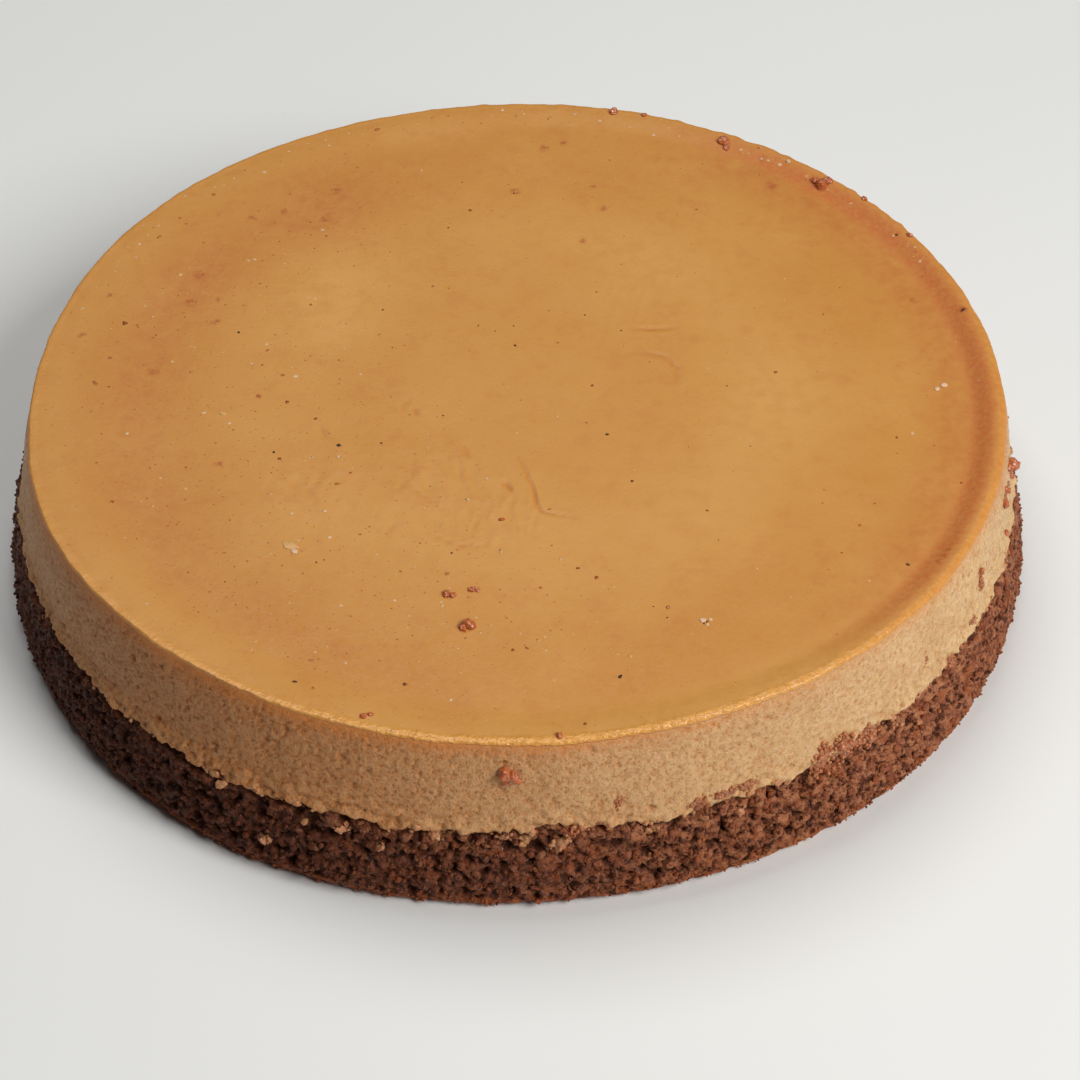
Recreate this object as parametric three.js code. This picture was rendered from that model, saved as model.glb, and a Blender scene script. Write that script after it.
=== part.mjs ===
// Chocoflan: a round cake of two layers, baked together in one tin and turned out.
// A chocolate sponge lies below, and a baked custard with a dished, caramel-soaked top lies on it.
// Millimetres, +Z up. The origin is the middle of the underside, on the surface the cake stands on.
import * as THREE from "three";

// Driving dimensions
const CAKE_HEIGHT = 42.6; // from the underside to the crown of the rim
const LAYER_HEIGHT = 20.7; // mean height of the line between sponge and custard
const LAYER_GAP = 0.3; // clear height between the two solids
const FOOT_RADIUS = 115.2; // widest ring of the sponge
const FOOT_HEIGHT = 7; // height of that widest ring
const TOP_RADIUS = 108; // the wall's radius where it would meet the crown
const WALL_CURVE = 1.35; // 1 gives a straight taper, more makes the wall bulge
const FOOT_TUCK = 0.9; // how far the wall draws in below its widest ring
const FOOT_ROUND = 1.2; // radius of the sponge's bottom edge

// The rim stands up round the top, because the middle of the custard sinks as it cools.
const CROWN_INSET = 3; // from the wall in to the crown
const EDGE_DROP = 2; // from the crown down to where the wall starts
const RIM_WIDTH = 10.5; // from the wall in to the foot of the inner slope
const RIM_RISE = 2.3; // height of the crown above the foot of the inner slope
const DISH_SAG = 0.5; // further fall from there to the middle

// Steps of the surfaces
const STEPS_AROUND = 96;
const STEPS_BASE = 2;
const STEPS_UNDER = 6;
const STEPS_FOOT = 3;
const STEPS_WALL = 6;
const STEPS_EDGE = 4;
const STEPS_SLOPE = 6;
const STEPS_DISH = 6;

const SPONGE_FINISH = { color: 0x5a3224, roughness: 0.85, metalness: 0 };
const CUSTARD_FINISH = { color: 0xc8904d, roughness: 0.4, metalness: 0 };

// Unevenness, each a list of waves round the cake: [waves in one turn, height in mm, phase in radians].
// The outline has only even waves, so that it stays centred on the origin.
const OUTLINE_WAVES = [
  [2, 0.35, 0.9],
  [4, 0.2, 2.3],
  [6, 0.12, 4.1],
];
// The layer line lies highest on the +X side and dips on the -X side towards the front.
const LAYER_WAVES = [
  [1, 1.6, 0.35],
  [2, 0.3, 1.1],
  [5, 0.5, 1.6],
  [10, 0.6, 3.8],
];

function sumOfWaves(waves, angle) {
  return waves.reduce((sum, [count, size, phase]) => sum + size * Math.cos(count * angle + phase), 0);
}

// Radius of the wall at a height, for an even cake: a flared tin's taper that draws in again at the foot.
function wallRadius(height) {
  if (height < FOOT_HEIGHT) {
    const below = 1 - Math.max(height, 0) / FOOT_HEIGHT;
    return FOOT_RADIUS - FOOT_TUCK * below * below;
  }
  const rise = (height - FOOT_HEIGHT) / (CAKE_HEIGHT - FOOT_HEIGHT);
  return FOOT_RADIUS - (FOOT_RADIUS - TOP_RADIUS) * Math.pow(rise, WALL_CURVE);
}

// How far the waves of the layer line lift a point: in full at the line, not at all at the base or the crown.
function layerLift(height) {
  const share = height < LAYER_HEIGHT
    ? height / LAYER_HEIGHT
    : (CAKE_HEIGHT - height) / (CAKE_HEIGHT - LAYER_HEIGHT);
  return THREE.MathUtils.clamp(share, 0, 1);
}

// Points of a flat stretch of the profile at one height, from one radius to another.
function levelPoints(fromRadius, toRadius, height, steps) {
  return Array.from({ length: steps + 1 }, (_, i) => {
    return new THREE.Vector2(THREE.MathUtils.lerp(fromRadius, toRadius, i / steps), height);
  });
}

// Points of the wall between two heights, both ends included.
function wallPoints(fromHeight, toHeight, steps) {
  return Array.from({ length: steps + 1 }, (_, i) => {
    const height = THREE.MathUtils.lerp(fromHeight, toHeight, i / steps);
    return new THREE.Vector2(wallRadius(height), height);
  });
}

// Points of the rounded bottom edge: a quarter circle from the underside up to the wall.
function footPoints() {
  return Array.from({ length: STEPS_FOOT }, (_, i) => {
    const turn = (i / STEPS_FOOT) * (Math.PI / 2);
    const radius = wallRadius(FOOT_ROUND) - FOOT_ROUND * (1 - Math.sin(turn));
    return new THREE.Vector2(radius, FOOT_ROUND * (1 - Math.cos(turn)));
  });
}

// Points of the rim and the dish: a quarter ellipse from the wall up to the crown, an S-shaped slope down to
// the dish, and a shallow bowl to the axis.
function rimAndDishPoints() {
  const wallTop = CAKE_HEIGHT - EDGE_DROP;
  const wall = wallRadius(wallTop);
  const points = [];
  for (let i = 1; i <= STEPS_EDGE; i++) {
    const turn = (i / STEPS_EDGE) * (Math.PI / 2);
    const radius = wall - CROWN_INSET * (1 - Math.cos(turn));
    points.push(new THREE.Vector2(radius, wallTop + EDGE_DROP * Math.sin(turn)));
  }
  for (let i = 1; i <= STEPS_SLOPE; i++) {
    const share = i / STEPS_SLOPE;
    const radius = wall - THREE.MathUtils.lerp(CROWN_INSET, RIM_WIDTH, share);
    points.push(new THREE.Vector2(radius, CAKE_HEIGHT - RIM_RISE * THREE.MathUtils.smoothstep(share, 0, 1)));
  }
  const dishRadius = wall - RIM_WIDTH;
  for (let i = 1; i <= STEPS_DISH; i++) {
    const share = 1 - i / STEPS_DISH;
    const height = CAKE_HEIGHT - RIM_RISE - DISH_SAG * (1 - share * share);
    points.push(new THREE.Vector2(dishRadius * share, height));
  }
  return points;
}

// A solid turned round the Z axis from its profile, then made uneven: each point is lifted with the layer line
// and keeps its share of the wall's radius at its new height.
function unevenSolid(profile) {
  const geometry = new THREE.LatheGeometry(profile, STEPS_AROUND);
  geometry.rotateX(Math.PI / 2);
  const position = geometry.getAttribute("position");
  for (let i = 0; i < position.count; i++) {
    const x = position.getX(i);
    const y = position.getY(i);
    const evenHeight = position.getZ(i);
    const angle = Math.atan2(y, x);
    const reach = Math.hypot(x, y) / wallRadius(evenHeight);
    const lift = sumOfWaves(LAYER_WAVES, angle) * reach * layerLift(evenHeight);
    const height = evenHeight + lift;
    const radius = reach * (wallRadius(height) + sumOfWaves(OUTLINE_WAVES, angle));
    position.setXYZ(i, radius * Math.cos(angle), radius * Math.sin(angle), height);
  }
  geometry.computeVertexNormals();
  return geometry;
}

function makeLayer(name, profile, finish) {
  const mesh = new THREE.Mesh(unevenSolid(profile), new THREE.MeshStandardMaterial(finish));
  mesh.name = name;
  return mesh;
}

function makeSponge() {
  const top = LAYER_HEIGHT - LAYER_GAP / 2;
  const profile = [
    ...levelPoints(0, wallRadius(FOOT_ROUND) - FOOT_ROUND, 0, STEPS_BASE).slice(0, -1),
    ...footPoints(),
    ...wallPoints(FOOT_ROUND, top, STEPS_WALL),
    ...levelPoints(wallRadius(top), 0, top, STEPS_UNDER).slice(1),
  ];
  return makeLayer("sponge_base", profile, SPONGE_FINISH);
}

function makeCustard() {
  const bottom = LAYER_HEIGHT + LAYER_GAP / 2;
  const profile = [
    ...levelPoints(0, wallRadius(bottom), bottom, STEPS_UNDER).slice(0, -1),
    ...wallPoints(bottom, CAKE_HEIGHT - EDGE_DROP, STEPS_WALL),
    ...rimAndDishPoints(),
  ];
  return makeLayer("flan_layer", profile, CUSTARD_FINISH);
}

const chocoflan = new THREE.Group();
chocoflan.name = "chocoflan";
chocoflan.add(makeSponge(), makeCustard());

export default chocoflan;
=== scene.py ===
"""Chocoflan: a round cake of baked caramel custard on dark chocolate sponge, built on its solids."""

import itertools
import math

import bpy
import numpy as np
from mathutils import Matrix, Vector


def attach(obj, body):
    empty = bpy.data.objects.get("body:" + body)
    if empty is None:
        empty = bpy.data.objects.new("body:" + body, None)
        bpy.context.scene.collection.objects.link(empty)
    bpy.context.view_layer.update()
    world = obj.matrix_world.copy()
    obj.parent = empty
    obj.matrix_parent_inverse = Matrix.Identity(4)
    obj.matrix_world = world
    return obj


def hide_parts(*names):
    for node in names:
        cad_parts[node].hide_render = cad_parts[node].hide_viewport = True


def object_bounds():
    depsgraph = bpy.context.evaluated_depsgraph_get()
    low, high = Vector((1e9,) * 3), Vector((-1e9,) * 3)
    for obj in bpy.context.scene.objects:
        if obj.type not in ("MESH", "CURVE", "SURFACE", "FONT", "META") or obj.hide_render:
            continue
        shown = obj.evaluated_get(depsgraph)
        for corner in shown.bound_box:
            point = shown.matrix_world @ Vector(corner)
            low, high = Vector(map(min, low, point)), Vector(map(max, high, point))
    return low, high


bl_info = {
    "name": "Chocoflan",
    "version": (1, 0, 0),
    "blender": (4, 5, 0),
    "location": "3D View > Sidebar > Chocoflan",
    "description": "Builds a chocoflan cake from its sponge, custard, caramel top, crumbs and specks",
    "category": "Add Mesh",
}

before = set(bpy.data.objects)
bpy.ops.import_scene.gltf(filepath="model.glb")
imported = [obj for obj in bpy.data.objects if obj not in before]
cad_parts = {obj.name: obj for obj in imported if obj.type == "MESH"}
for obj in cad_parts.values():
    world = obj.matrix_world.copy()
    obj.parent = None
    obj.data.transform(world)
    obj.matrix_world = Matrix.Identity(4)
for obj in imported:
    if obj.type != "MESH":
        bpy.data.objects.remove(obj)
CAD_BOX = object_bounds()

MM = 0.001
BODY = "root"
SPONGE_NODE = "sponge_base"
CUSTARD_NODE = "flan_layer"
BAKE_MAP = "OFBake"
FLAT_MAP_WIDTH = 228 * MM
FULL_WORD = 4294967296.0

# The top light's place and side, what the camera looks at, and the tints of the lights and the surroundings.
TOP_LIGHT_PLACE = (-0.15, 0.5, 1.3)
TOP_LIGHT_SIDE = 0.9
CAMERA_TARGET = (4.7 * MM, -27.6 * MM, 21.6 * MM)
LIGHT_TINT = (1.0, 1.0, 1.0)
SKY_TINT = (0.97, 0.985, 1.0, 1.0)

# Unevenness, as waves round the cake: (waves in one turn, height in millimetres, phase in radians).
OUTLINE_WAVES = ((2, 0.35, 0.9), (4, 0.2, 2.3), (6, 0.12, 4.1))
LAYER_WAVES = ((1, 1.6, 0.35), (2, 0.3, 1.1), (5, 0.5, 1.6), (10, 0.6, 3.8))

# Rises and falls of the layer line: degrees round, half width in degrees and height in millimetres.
LINE_BUMPS = (
    (-20, 26, 1.2),
    (-47, 5, 1.2),
    (-59, 4, -1.0),
    (-86.5, 2.5, 1.6),
    (-95, 5, -1.4),
    (-110.5, 4, 1.8),
    (-128, 30, 0.4),
    (-150, 16, 1.5),
)

# Swells and hollows of the wall: degrees round, half width in degrees, then height, half height and reach
# outwards in millimetres.
WALL_SWELLS = (
    (-128, 40, 0, 18, 1.9),
    (-50, 22, 0, 18, 0.35),
    (-154, 18, 42, 14, 1.7),
    (-127, 14, 42, 12, 0.4),
    (-98, 46, 42, 12, 0.75),
    (4, 22, 24, 11, -1.7),
    (177, 24, 20, 11, -0.9),
)


# ---------------------------------------------------------------- settings


def length(name, description, millimetres):
    """A length that a user can change, given in millimetres."""
    return bpy.props.FloatProperty(
        name=name,
        description=description,
        default=millimetres * MM,
        precision=5,
        unit="LENGTH",
        subtype="DISTANCE",
    )


def angle_of(name, description, degrees):
    """An angle that a user can change, given in degrees."""
    return bpy.props.FloatProperty(
        name=name, description=description, default=math.radians(degrees), subtype="ANGLE"
    )


def share(name, description, default):
    """A share or strength from 0 upwards."""
    return bpy.props.FloatProperty(name=name, description=description, default=default, min=0.0)


def colour(name, description, red, green, blue):
    """A colour in linear red, green and blue."""
    tone = (red, green, blue)
    return bpy.props.FloatVectorProperty(
        name=name, description=description, default=tone, size=3, subtype="COLOR", min=0.0, max=1.0
    )


class CHOCOFLAN_PG_shape(bpy.types.PropertyGroup):
    """Sizes of the cake."""

    height: length("Height", "Underside to the crown of the rim", CAD_BOX[1].z / MM)
    layer_height: length("Layer line", "Mean height of the line between sponge and custard", 20.7)
    foot_radius: length("Foot radius", "Widest ring of the sponge", 115.2)
    foot_height: length("Foot height", "Height of the widest ring", 7.0)
    foot_tuck: length("Foot tuck", "How far the wall draws in below the widest ring", 0.9)
    sponge_shift: length("Sponge shift", "How far the sponge sits to the left of the custard", 0.2)
    top_radius: length("Top radius", "Radius of the wall where it would meet the crown", 108.0)
    wall_curve: share("Wall curve", "1 gives a straight taper, more makes the wall bulge", 1.35)
    crown_inset: length("Crown inset", "From the wall in to the crown of the rim", 1.25)
    edge_drop: length("Edge drop", "From the crown down to the start of the wall", 1.5)
    rim_width: length("Rim width", "From the wall in to the foot of the inner slope", 6.8)
    rim_rise: length("Rim rise", "Mean height of the crown above the foot of the inner slope", 0.85)
    dish_lean: length("Dish lean", "How far the dish lies lower on the right than in the middle", 0.5)
    dish_fall: length("Dish fall", "How far the dish lies lower at the front than in the middle", 0.22)
    dish_sag: length("Dish sag", "Further fall to the middle", 0.5)
    skin_depth: length("Skin depth", "How far the caramel skin reaches down the wall", 0.1)
    sponge_relief: share("Sponge relief", "Depth of the crumb on the sponge, 1 as baked", 1.0)
    custard_relief: share("Custard relief", "Depth of the pores in the custard, 1 as baked", 1.0)
    top_relief: share("Top relief", "Height of wrinkles and pimples on top, 1 as baked", 1.0)


class CHOCOFLAN_PG_finish(bpy.types.PropertyGroup):
    """Colours of the cake."""

    caramel: colour("Caramel", "The top, soaked with caramel", 0.545, 0.228, 0.036)
    # Also the colour of painted light on the inner slope at the front.
    caramel_pale: colour("Pale caramel", "Thin and worn places of the top", 0.64, 0.315, 0.075)
    # Pale thin caramel along the crown, brightened along the front as a painted highlight.
    caramel_edge_and_highlight: colour("Caramel edge", "Raised pebbled edge of the skin", 0.80, 0.385, 0.095)
    # Also the colour of painted shade in the creases.
    caramel_deep: colour("Deep caramel", "Where syrup gathers below the rim", 0.47, 0.135, 0.022)
    caramel_red: colour("Caramel red", "Syrup on the inner side of the rim", 0.53, 0.135, 0.024)
    custard: colour("Custard", "The baked custard on the side", 0.63, 0.375, 0.17)
    # Also the colour of a painted highlight on the crests of the ridges.
    custard_pale: colour("Pale custard", "The lacy ridges between the pores", 0.75, 0.5, 0.245)
    # Also the colour of painted shade in the pores.
    custard_deep: colour("Deep custard", "Pores and syrup-soaked custard", 0.49, 0.215, 0.062)
    # Painted shade and warm reflected light: darker, redder custard laid on the front left.
    custard_shade_warm: colour("Browned custard", "The side that browned most in the oven", 0.465, 0.152, 0.034)
    # Orange syrup stain just under the edge, brighter as painted light where the wall's top bulges towards
    # the light.
    custard_rim_stain_and_light: colour("Custard rim", "Custard just under the edge", 0.68, 0.245, 0.056)
    custard_soaked: colour("Custard soaked", "Custard soaked with syrup under the edge", 0.66, 0.2, 0.036)
    sponge: colour("Sponge", "The raised crumb of the sponge", 0.325, 0.1, 0.045)
    # Also the colour of painted shade in the sponge's pits and on its left side.
    sponge_deep: colour("Deep sponge", "The pits of the sponge", 0.07, 0.0185, 0.008)
    # Also laid on the lowest millimetres of the sponge, partly as a baked crust and partly as painted warm
    # reflected light.
    sponge_red: colour("Red sponge", "The redder crumb", 0.5, 0.105, 0.014)
    # Also the colour of painted light on the right of the front of the sponge.
    sponge_pale: colour("Sponge pale", "Dry crumb of the sponge near the custard", 0.5, 0.2, 0.09)
    crumb: colour("Crumb", "Loose moist crumbs and smears", 0.4, 0.12, 0.052)
    speck_dark: colour("Dark specks", "Vanilla and burnt sugar", 0.03, 0.018, 0.012)
    # Pale curds, and small bubbles whose paleness is partly a painted highlight.
    speck_pale_and_highlight: colour("Pale specks", "Bubbles and curds", 0.74, 0.49, 0.32)
    speck_red: colour("Red specks", "Spots of burnt syrup", 0.4, 0.095, 0.014)


class CHOCOFLAN_PG_stage(bpy.types.PropertyGroup):
    """Floor, lights and camera."""

    floor_tone: colour("Floor", "The pale floor", 0.80, 0.80, 0.775)
    floor_side: length("Floor side", "Side of the square floor", 6000.0)
    key_power: share("Key power", "Power of the main light in watts", 13.9)
    key_turn: angle_of("Key turn", "Direction of the main light round the cake", -38.0)
    key_rise: angle_of("Key rise", "Height of the main light above the floor", 42.0)
    key_distance: length("Key distance", "From the cake to the main light", 1300.0)
    key_size: length("Key size", "Side of the main light", 620.0)
    top_power: share("Top power", "Power of the light overhead in watts", 9.6)
    sky_strength: share("Sky strength", "Brightness of the surroundings", 0.03)
    camera_distance: length("Camera distance", "From the camera to the point it looks at", 710.8)
    camera_rise: angle_of("Camera rise", "Angle at which the camera looks down", 43.34)
    camera_roll: angle_of("Camera roll", "Turn of the camera about its own axis", -0.185)
    camera_lens: share("Camera lens", "Focal length in millimetres on a 36 mm sensor", 107.03)


def settings():
    """The three groups of settings: shape, finish and stage."""
    scene = bpy.context.scene
    return scene.chocoflan_shape, scene.chocoflan_finish, scene.chocoflan_stage


# ---------------------------------------------------------------- noise


def lattice_numbers(cells, seed, count):
    """Repeatable numbers from 0 to 1 for whole-number cells: the three counts and the seed are multiplied by
    large odd numbers and combined, and the high bits are folded back before each further number is drawn."""
    whole = cells.astype(np.int64).astype(np.uint32)
    mixed = whole[..., 0] * np.uint32(73856093)
    mixed ^= whole[..., 1] * np.uint32(19349663)
    mixed ^= whole[..., 2] * np.uint32(83492791)
    mixed ^= np.uint32((seed * 2654435761 + 97) & 0xFFFFFFFF)
    drawn = []
    for _ in range(count):
        mixed = (mixed ^ (mixed >> np.uint32(15))) * np.uint32(2246822519)
        mixed = (mixed ^ (mixed >> np.uint32(13))) * np.uint32(3266489917)
        mixed = mixed ^ (mixed >> np.uint32(16))
        drawn.append(mixed / FULL_WORD)
    return np.stack(drawn, -1)


def smooth_noise(points, seed):
    """Smooth noise from about -1 to 1 with one wave to a unit: a random slope at each corner of the unit cube
    round a point, blended with the fade 6t^5 - 15t^4 + 10t^3."""
    cells = np.floor(points)
    within = points - cells
    fade = within**3 * (within * (within * 6 - 15) + 10)
    total = np.zeros(points.shape[:-1])
    for corner in itertools.product((0, 1), repeat=3):
        step = np.array(corner)
        slope = lattice_numbers(cells + step, seed, 3) * 2 - 1
        weight = np.prod(np.where(step == 1, fade, 1 - fade), axis=-1)
        total += weight * np.sum(slope * (within - step), axis=-1)
    return total * 1.4


def layered_noise(points, seed, layers=3):
    """Smooth noise summed over layers, each with half the size and half the height of the one before."""
    total = np.zeros(points.shape[:-1])
    for layer in range(layers):
        total += smooth_noise(points * 2**layer, seed + layer) / 2**layer
    return total


def cell_noise(points, seed):
    """For one random centre in each unit cube: the distance from each point to the nearest centre, the gap to
    the second nearest, and the nearest centre's own random number."""
    cells = np.floor(points)
    nearest = np.full(points.shape[:-1], 9.0)
    second = np.full(points.shape[:-1], 9.0)
    owner = np.zeros(points.shape[:-1])
    for neighbour in itertools.product((-1, 0, 1), repeat=3):
        home = cells + np.array(neighbour)
        drawn = lattice_numbers(home, seed, 4)
        distance = np.linalg.norm(home + drawn[..., :3] - points, axis=-1)
        closer = distance < nearest
        second = np.where(closer, nearest, np.minimum(second, distance))
        owner = np.where(closer, drawn[..., 3], owner)
        nearest = np.where(closer, distance, nearest)
    return nearest, second - nearest, owner


def smooth_step(low, high, value):
    """0 below low, 1 above high, and 3t^2 - 2t^3 between them."""
    t = np.clip((value - low) / (high - low), 0, 1)
    return t * t * (3 - 2 * t)


# ---------------------------------------------------------------- the even shape


def sum_of_waves(waves, angle):
    """Cosine waves round the cake, in metres."""
    return MM * sum(size * np.cos(count * angle + phase) for count, size, phase in waves)


def wall_radius(shape, height):
    """Radius of the wall at a height: above the widest ring it falls from the foot radius to the top radius
    with the rise to the power of the wall curve, and below it draws in with the square of the depth."""
    above = np.clip((height - shape.foot_height) / (shape.height - shape.foot_height), 0, 1)
    below = np.clip(1 - height / shape.foot_height, 0, 1)
    tuck = shape.foot_tuck * below**2
    return shape.foot_radius - (shape.foot_radius - shape.top_radius) * above**shape.wall_curve - tuck


def layer_line(shape, angle):
    """Height of the line between sponge and custard: its mean plus its waves, and a ragged edge by noise."""
    around = outwards(angle) * shape.foot_radius / MM
    ragged = 0.9 * smooth_noise(around / 9.0, 11) + 0.55 * smooth_noise(around / 3.5, 12)
    ragged += 0.3 * smooth_noise(around / 1.4, 13)
    ragged += sum(rise * turned_from(angle, degrees, width) for degrees, width, rise in LINE_BUMPS)
    return shape.layer_height + sum_of_waves(LAYER_WAVES, angle) + ragged * MM


def outwards(angle, rise=0.0):
    """Directions out of the cake at angles round it, level or with a rise."""
    return np.stack([np.cos(angle), np.sin(angle), rise + 0 * angle], -1)


def unit(vectors):
    """Vectors brought to length 1."""
    return vectors / np.linalg.norm(vectors, axis=-1, keepdims=True)


def hill(value, middle, reach):
    """1 at the middle, falling to both sides as exp(-((value - middle) / reach)^2)."""
    return np.exp(-(((value - middle) / reach) ** 2))


def turned_from(angle, degrees, width):
    """1 at a direction round the cake, falling to both sides as exp(-(turn / width)^2), all in degrees."""
    turn = (np.degrees(angle) - degrees + 180) % 360 - 180
    return hill(turn, 0, width)


def custard_foot(shape, angle):
    """Height of the custard's ragged lower end: the layer line with tongues and notches from noise."""
    ring = outwards(angle) * shape.foot_radius / MM
    notches = 0.55 * smooth_noise(ring / 2.3, 46) * (1 + smooth_noise(ring / 9, 48))
    ragged = 0.9 * smooth_noise(ring / 5.5, 45) + notches
    left = 0.6 + 0.6 * turned_from(angle, -140, 60)
    return layer_line(shape, angle) + MM * np.clip(left * ragged - 0.35, -1.7, 0.5)


def crowded(even):
    """Even angles drawn together at the front and apart at the back, by 0.3 of their cosine."""
    return even + 0.3 * np.cos(even)


def outer_radius(shape, angle, height):
    """The even wall with the outline's waves, and its swells and hollows, each a round hill in direction and
    height."""
    swells = 0
    for degrees, width, middle, reach, out in WALL_SWELLS:
        swells = swells + out * turned_from(angle, degrees, width) * hill(height / MM, middle, reach)
    return wall_radius(shape, height) + sum_of_waves(OUTLINE_WAVES, angle) + swells * MM


def edge_radius(shape, angle):
    """Radius of the wall at the height where its round edge begins."""
    return outer_radius(shape, angle, shape.height - shape.edge_drop)


def wall_top(shape, angle):
    """Height at which the wall meets the round edge: the edge is sharper at the front left."""
    return shape.height - shape.edge_drop * (1 - 0.55 * turned_from(angle, -125, 75))


def crown_reach(shape, angle):
    """How far in from the wall the round edge meets the crown: a wider round on the right."""
    return shape.crown_inset * (1 + turned_from(angle, 2, 42) - 0.5 * turned_from(angle, -125, 75))


def rim_and_dish(shape, angle, radius):
    """Height of the top at a radius: a crown near the wall, an S-shaped slope down to the dish that is broad
    and slow on the left, and a dish that leans to the right and the front and falls on to the middle with the
    square of the radius."""
    edge = edge_radius(shape, angle)
    left = turned_from(angle, 165, 60)
    start = crown_reach(shape, angle) + 6.0 * MM * left
    broad = turned_from(angle, 2, 42) + 20.0 * left + 3.5 * turned_from(angle, -92, 42)
    foot = shape.rim_width + MM * broad
    slope = smooth_step(start, foot, edge - radius)
    out = np.clip(radius / edge, 0, 1)
    sag = 1 - out**2
    lean = shape.dish_lean * np.cos(angle) * out - shape.dish_fall * np.sin(angle) * out
    rise = shape.rim_rise + lean + 0.15 * MM * np.cos(2 * angle) * out**2
    return shape.height - rise * slope - shape.dish_sag * sag


# ---------------------------------------------------------------- meshes


def ring_quads(lower, upper):
    """Quads between closed rings of vertex numbers and those above them, facing outwards when the rings run
    anticlockwise seen from the upper end."""
    corners = [lower, np.roll(lower, -1, axis=-1), np.roll(upper, -1, axis=-1), upper]
    return np.stack(corners, -1).reshape(-1, 4)


def fan(ring, centre):
    """Triangles from a closed ring to one vertex past its upper side."""
    return np.stack([ring, np.roll(ring, -1), np.full_like(ring, centre)], -1)


def build_object(name, points, quads, triangles):
    """A smooth-shaded mesh object with its place in its mesh, at the origin."""
    corners = np.concatenate([quads.ravel(), triangles.ravel()]).astype(np.int32)
    sizes = np.concatenate([np.full(len(quads), 4), np.full(len(triangles), 3)])
    starts = np.concatenate([[0], np.cumsum(sizes)[:-1]]).astype(np.int32)
    mesh = bpy.data.meshes.new(name)
    mesh.vertices.add(len(points))
    mesh.vertices.foreach_set("co", points.astype(np.float32).ravel())
    mesh.loops.add(len(corners))
    mesh.loops.foreach_set("vertex_index", corners)
    mesh.polygons.add(len(sizes))
    mesh.polygons.foreach_set("loop_start", starts)
    mesh.polygons.foreach_set("use_smooth", np.ones(len(sizes), bool))
    mesh.update(calc_edges=True)
    mesh.validate()
    made = bpy.data.objects.new(name, mesh)
    bpy.context.scene.collection.objects.link(made)
    return made


def add_mask(made, name, values):
    """Stores one number for each vertex, for the material to read."""
    mask = made.data.attributes.new(name, "FLOAT", "POINT")
    mask.data.foreach_set("value", np.asarray(values, np.float32).ravel())


def add_bake_map(made, places):
    """Stores a UV place for each face corner."""
    layer = made.data.uv_layers.new(name=BAKE_MAP)
    layer.uv.foreach_set("vector", np.asarray(places, np.float32).ravel())


def closed_rings(rings, first_centre, last_centre):
    """Points and faces of a closed body of stacked rings, with its two ends closed by fans to their centres.
    The rings run anticlockwise seen from the last end."""
    rows, columns = rings.shape[:2]
    numbers = np.arange(rows * columns).reshape(rows, columns)
    first, last = rows * columns, rows * columns + 1
    points = np.concatenate([rings.reshape(-1, 3), [first_centre], [last_centre]])
    quads = ring_quads(numbers[:-1], numbers[1:])
    triangles = np.concatenate([fan(numbers[0][::-1], first), fan(numbers[-1], last)])
    return points, quads, triangles


def join_shapes(shapes):
    """Several sets of points and faces as one."""
    starts = np.cumsum([0] + [len(points) for points, _, _ in shapes[:-1]])
    points = np.concatenate([points for points, _, _ in shapes])
    quads = np.concatenate([quads + start for start, (_, quads, _) in zip(starts, shapes)])
    triangles = np.concatenate([triangles + start for start, (_, _, triangles) in zip(starts, shapes)])
    return points, quads, triangles


def strip_map(rows, columns, strips):
    """UV places for closed_rings: the rings unrolled and cut into strips that lie above each other, with
    the two fans gathered in a thin strip at the top."""
    column = np.tile(np.arange(columns), rows - 1)
    row = np.repeat(np.arange(rows - 1), columns)
    per_strip = columns // strips
    strip = column // per_strip
    left = (column % per_strip) / per_strip
    right = (column % per_strip + 1) / per_strip
    room = 0.96 / strips
    low = (strip + 0.02 + 0.96 * row / (rows - 1)) * room
    high = (strip + 0.02 + 0.96 * (row + 1) / (rows - 1)) * room
    quads = np.stack([left, low, right, low, right, high, left, high], -1)
    turn = np.arange(columns) / columns
    next_turn = turn + 1 / columns
    ends = []
    for base in (0.965, 0.982):
        floor = turn * 0 + base
        ends.append(np.stack([turn, floor, next_turn, floor, turn, floor + 0.015], -1).ravel())
    return np.concatenate([quads.ravel(), *ends])


# ---------------------------------------------------------------- sponge


def rounded(near):
    """A round cap over each cell, from the distance to its middle."""
    return np.clip(1 - near**2, 0, 1)


def sponge_relief(points):
    """How far the crumb stands out along the wall's normal, in millimetres, and how open and lit it is from 0
    to 1, which the material paints as shade in the pits: broad swells, round lumps in three sizes from cell
    noise, pits where a noise is high, and ledges drawn out along the layer."""
    warp = np.stack([smooth_noise(points / 1.6, 31 + axis) for axis in range(3)], -1)
    bent = points + 0.7 * warp
    swell = 0.5 * layered_noise(points / 13.0, 21, 2)
    big, _, big_owner = cell_noise(bent / 2.5, 22)
    middle, _, middle_owner = cell_noise(bent / 1.4, 23)
    small = cell_noise(bent / 0.9, 24)[0]
    lumps = 1.2 * (rounded(big) - 0.6) * (0.3 + 1.1 * big_owner)
    lumps += 1.25 * (rounded(middle) - 0.6) * (0.4 + middle_owner) + 0.5 * (rounded(small) - 0.7)
    ledges = 0.6 * smooth_noise(bent * np.array([1 / 5.0, 1 / 5.0, 1 / 1.3]), 25)
    pits = smooth_step(0.1, 0.5, smooth_noise(bent / 2.4, 26)) * 1.7
    holes = smooth_step(0.2, 0.6, smooth_noise(bent / 1.2, 27))
    height = swell + lumps + ledges - pits - holes
    return height, np.clip(0.62 + 0.45 * (height - 0.7 * swell), 0, 1)


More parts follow.
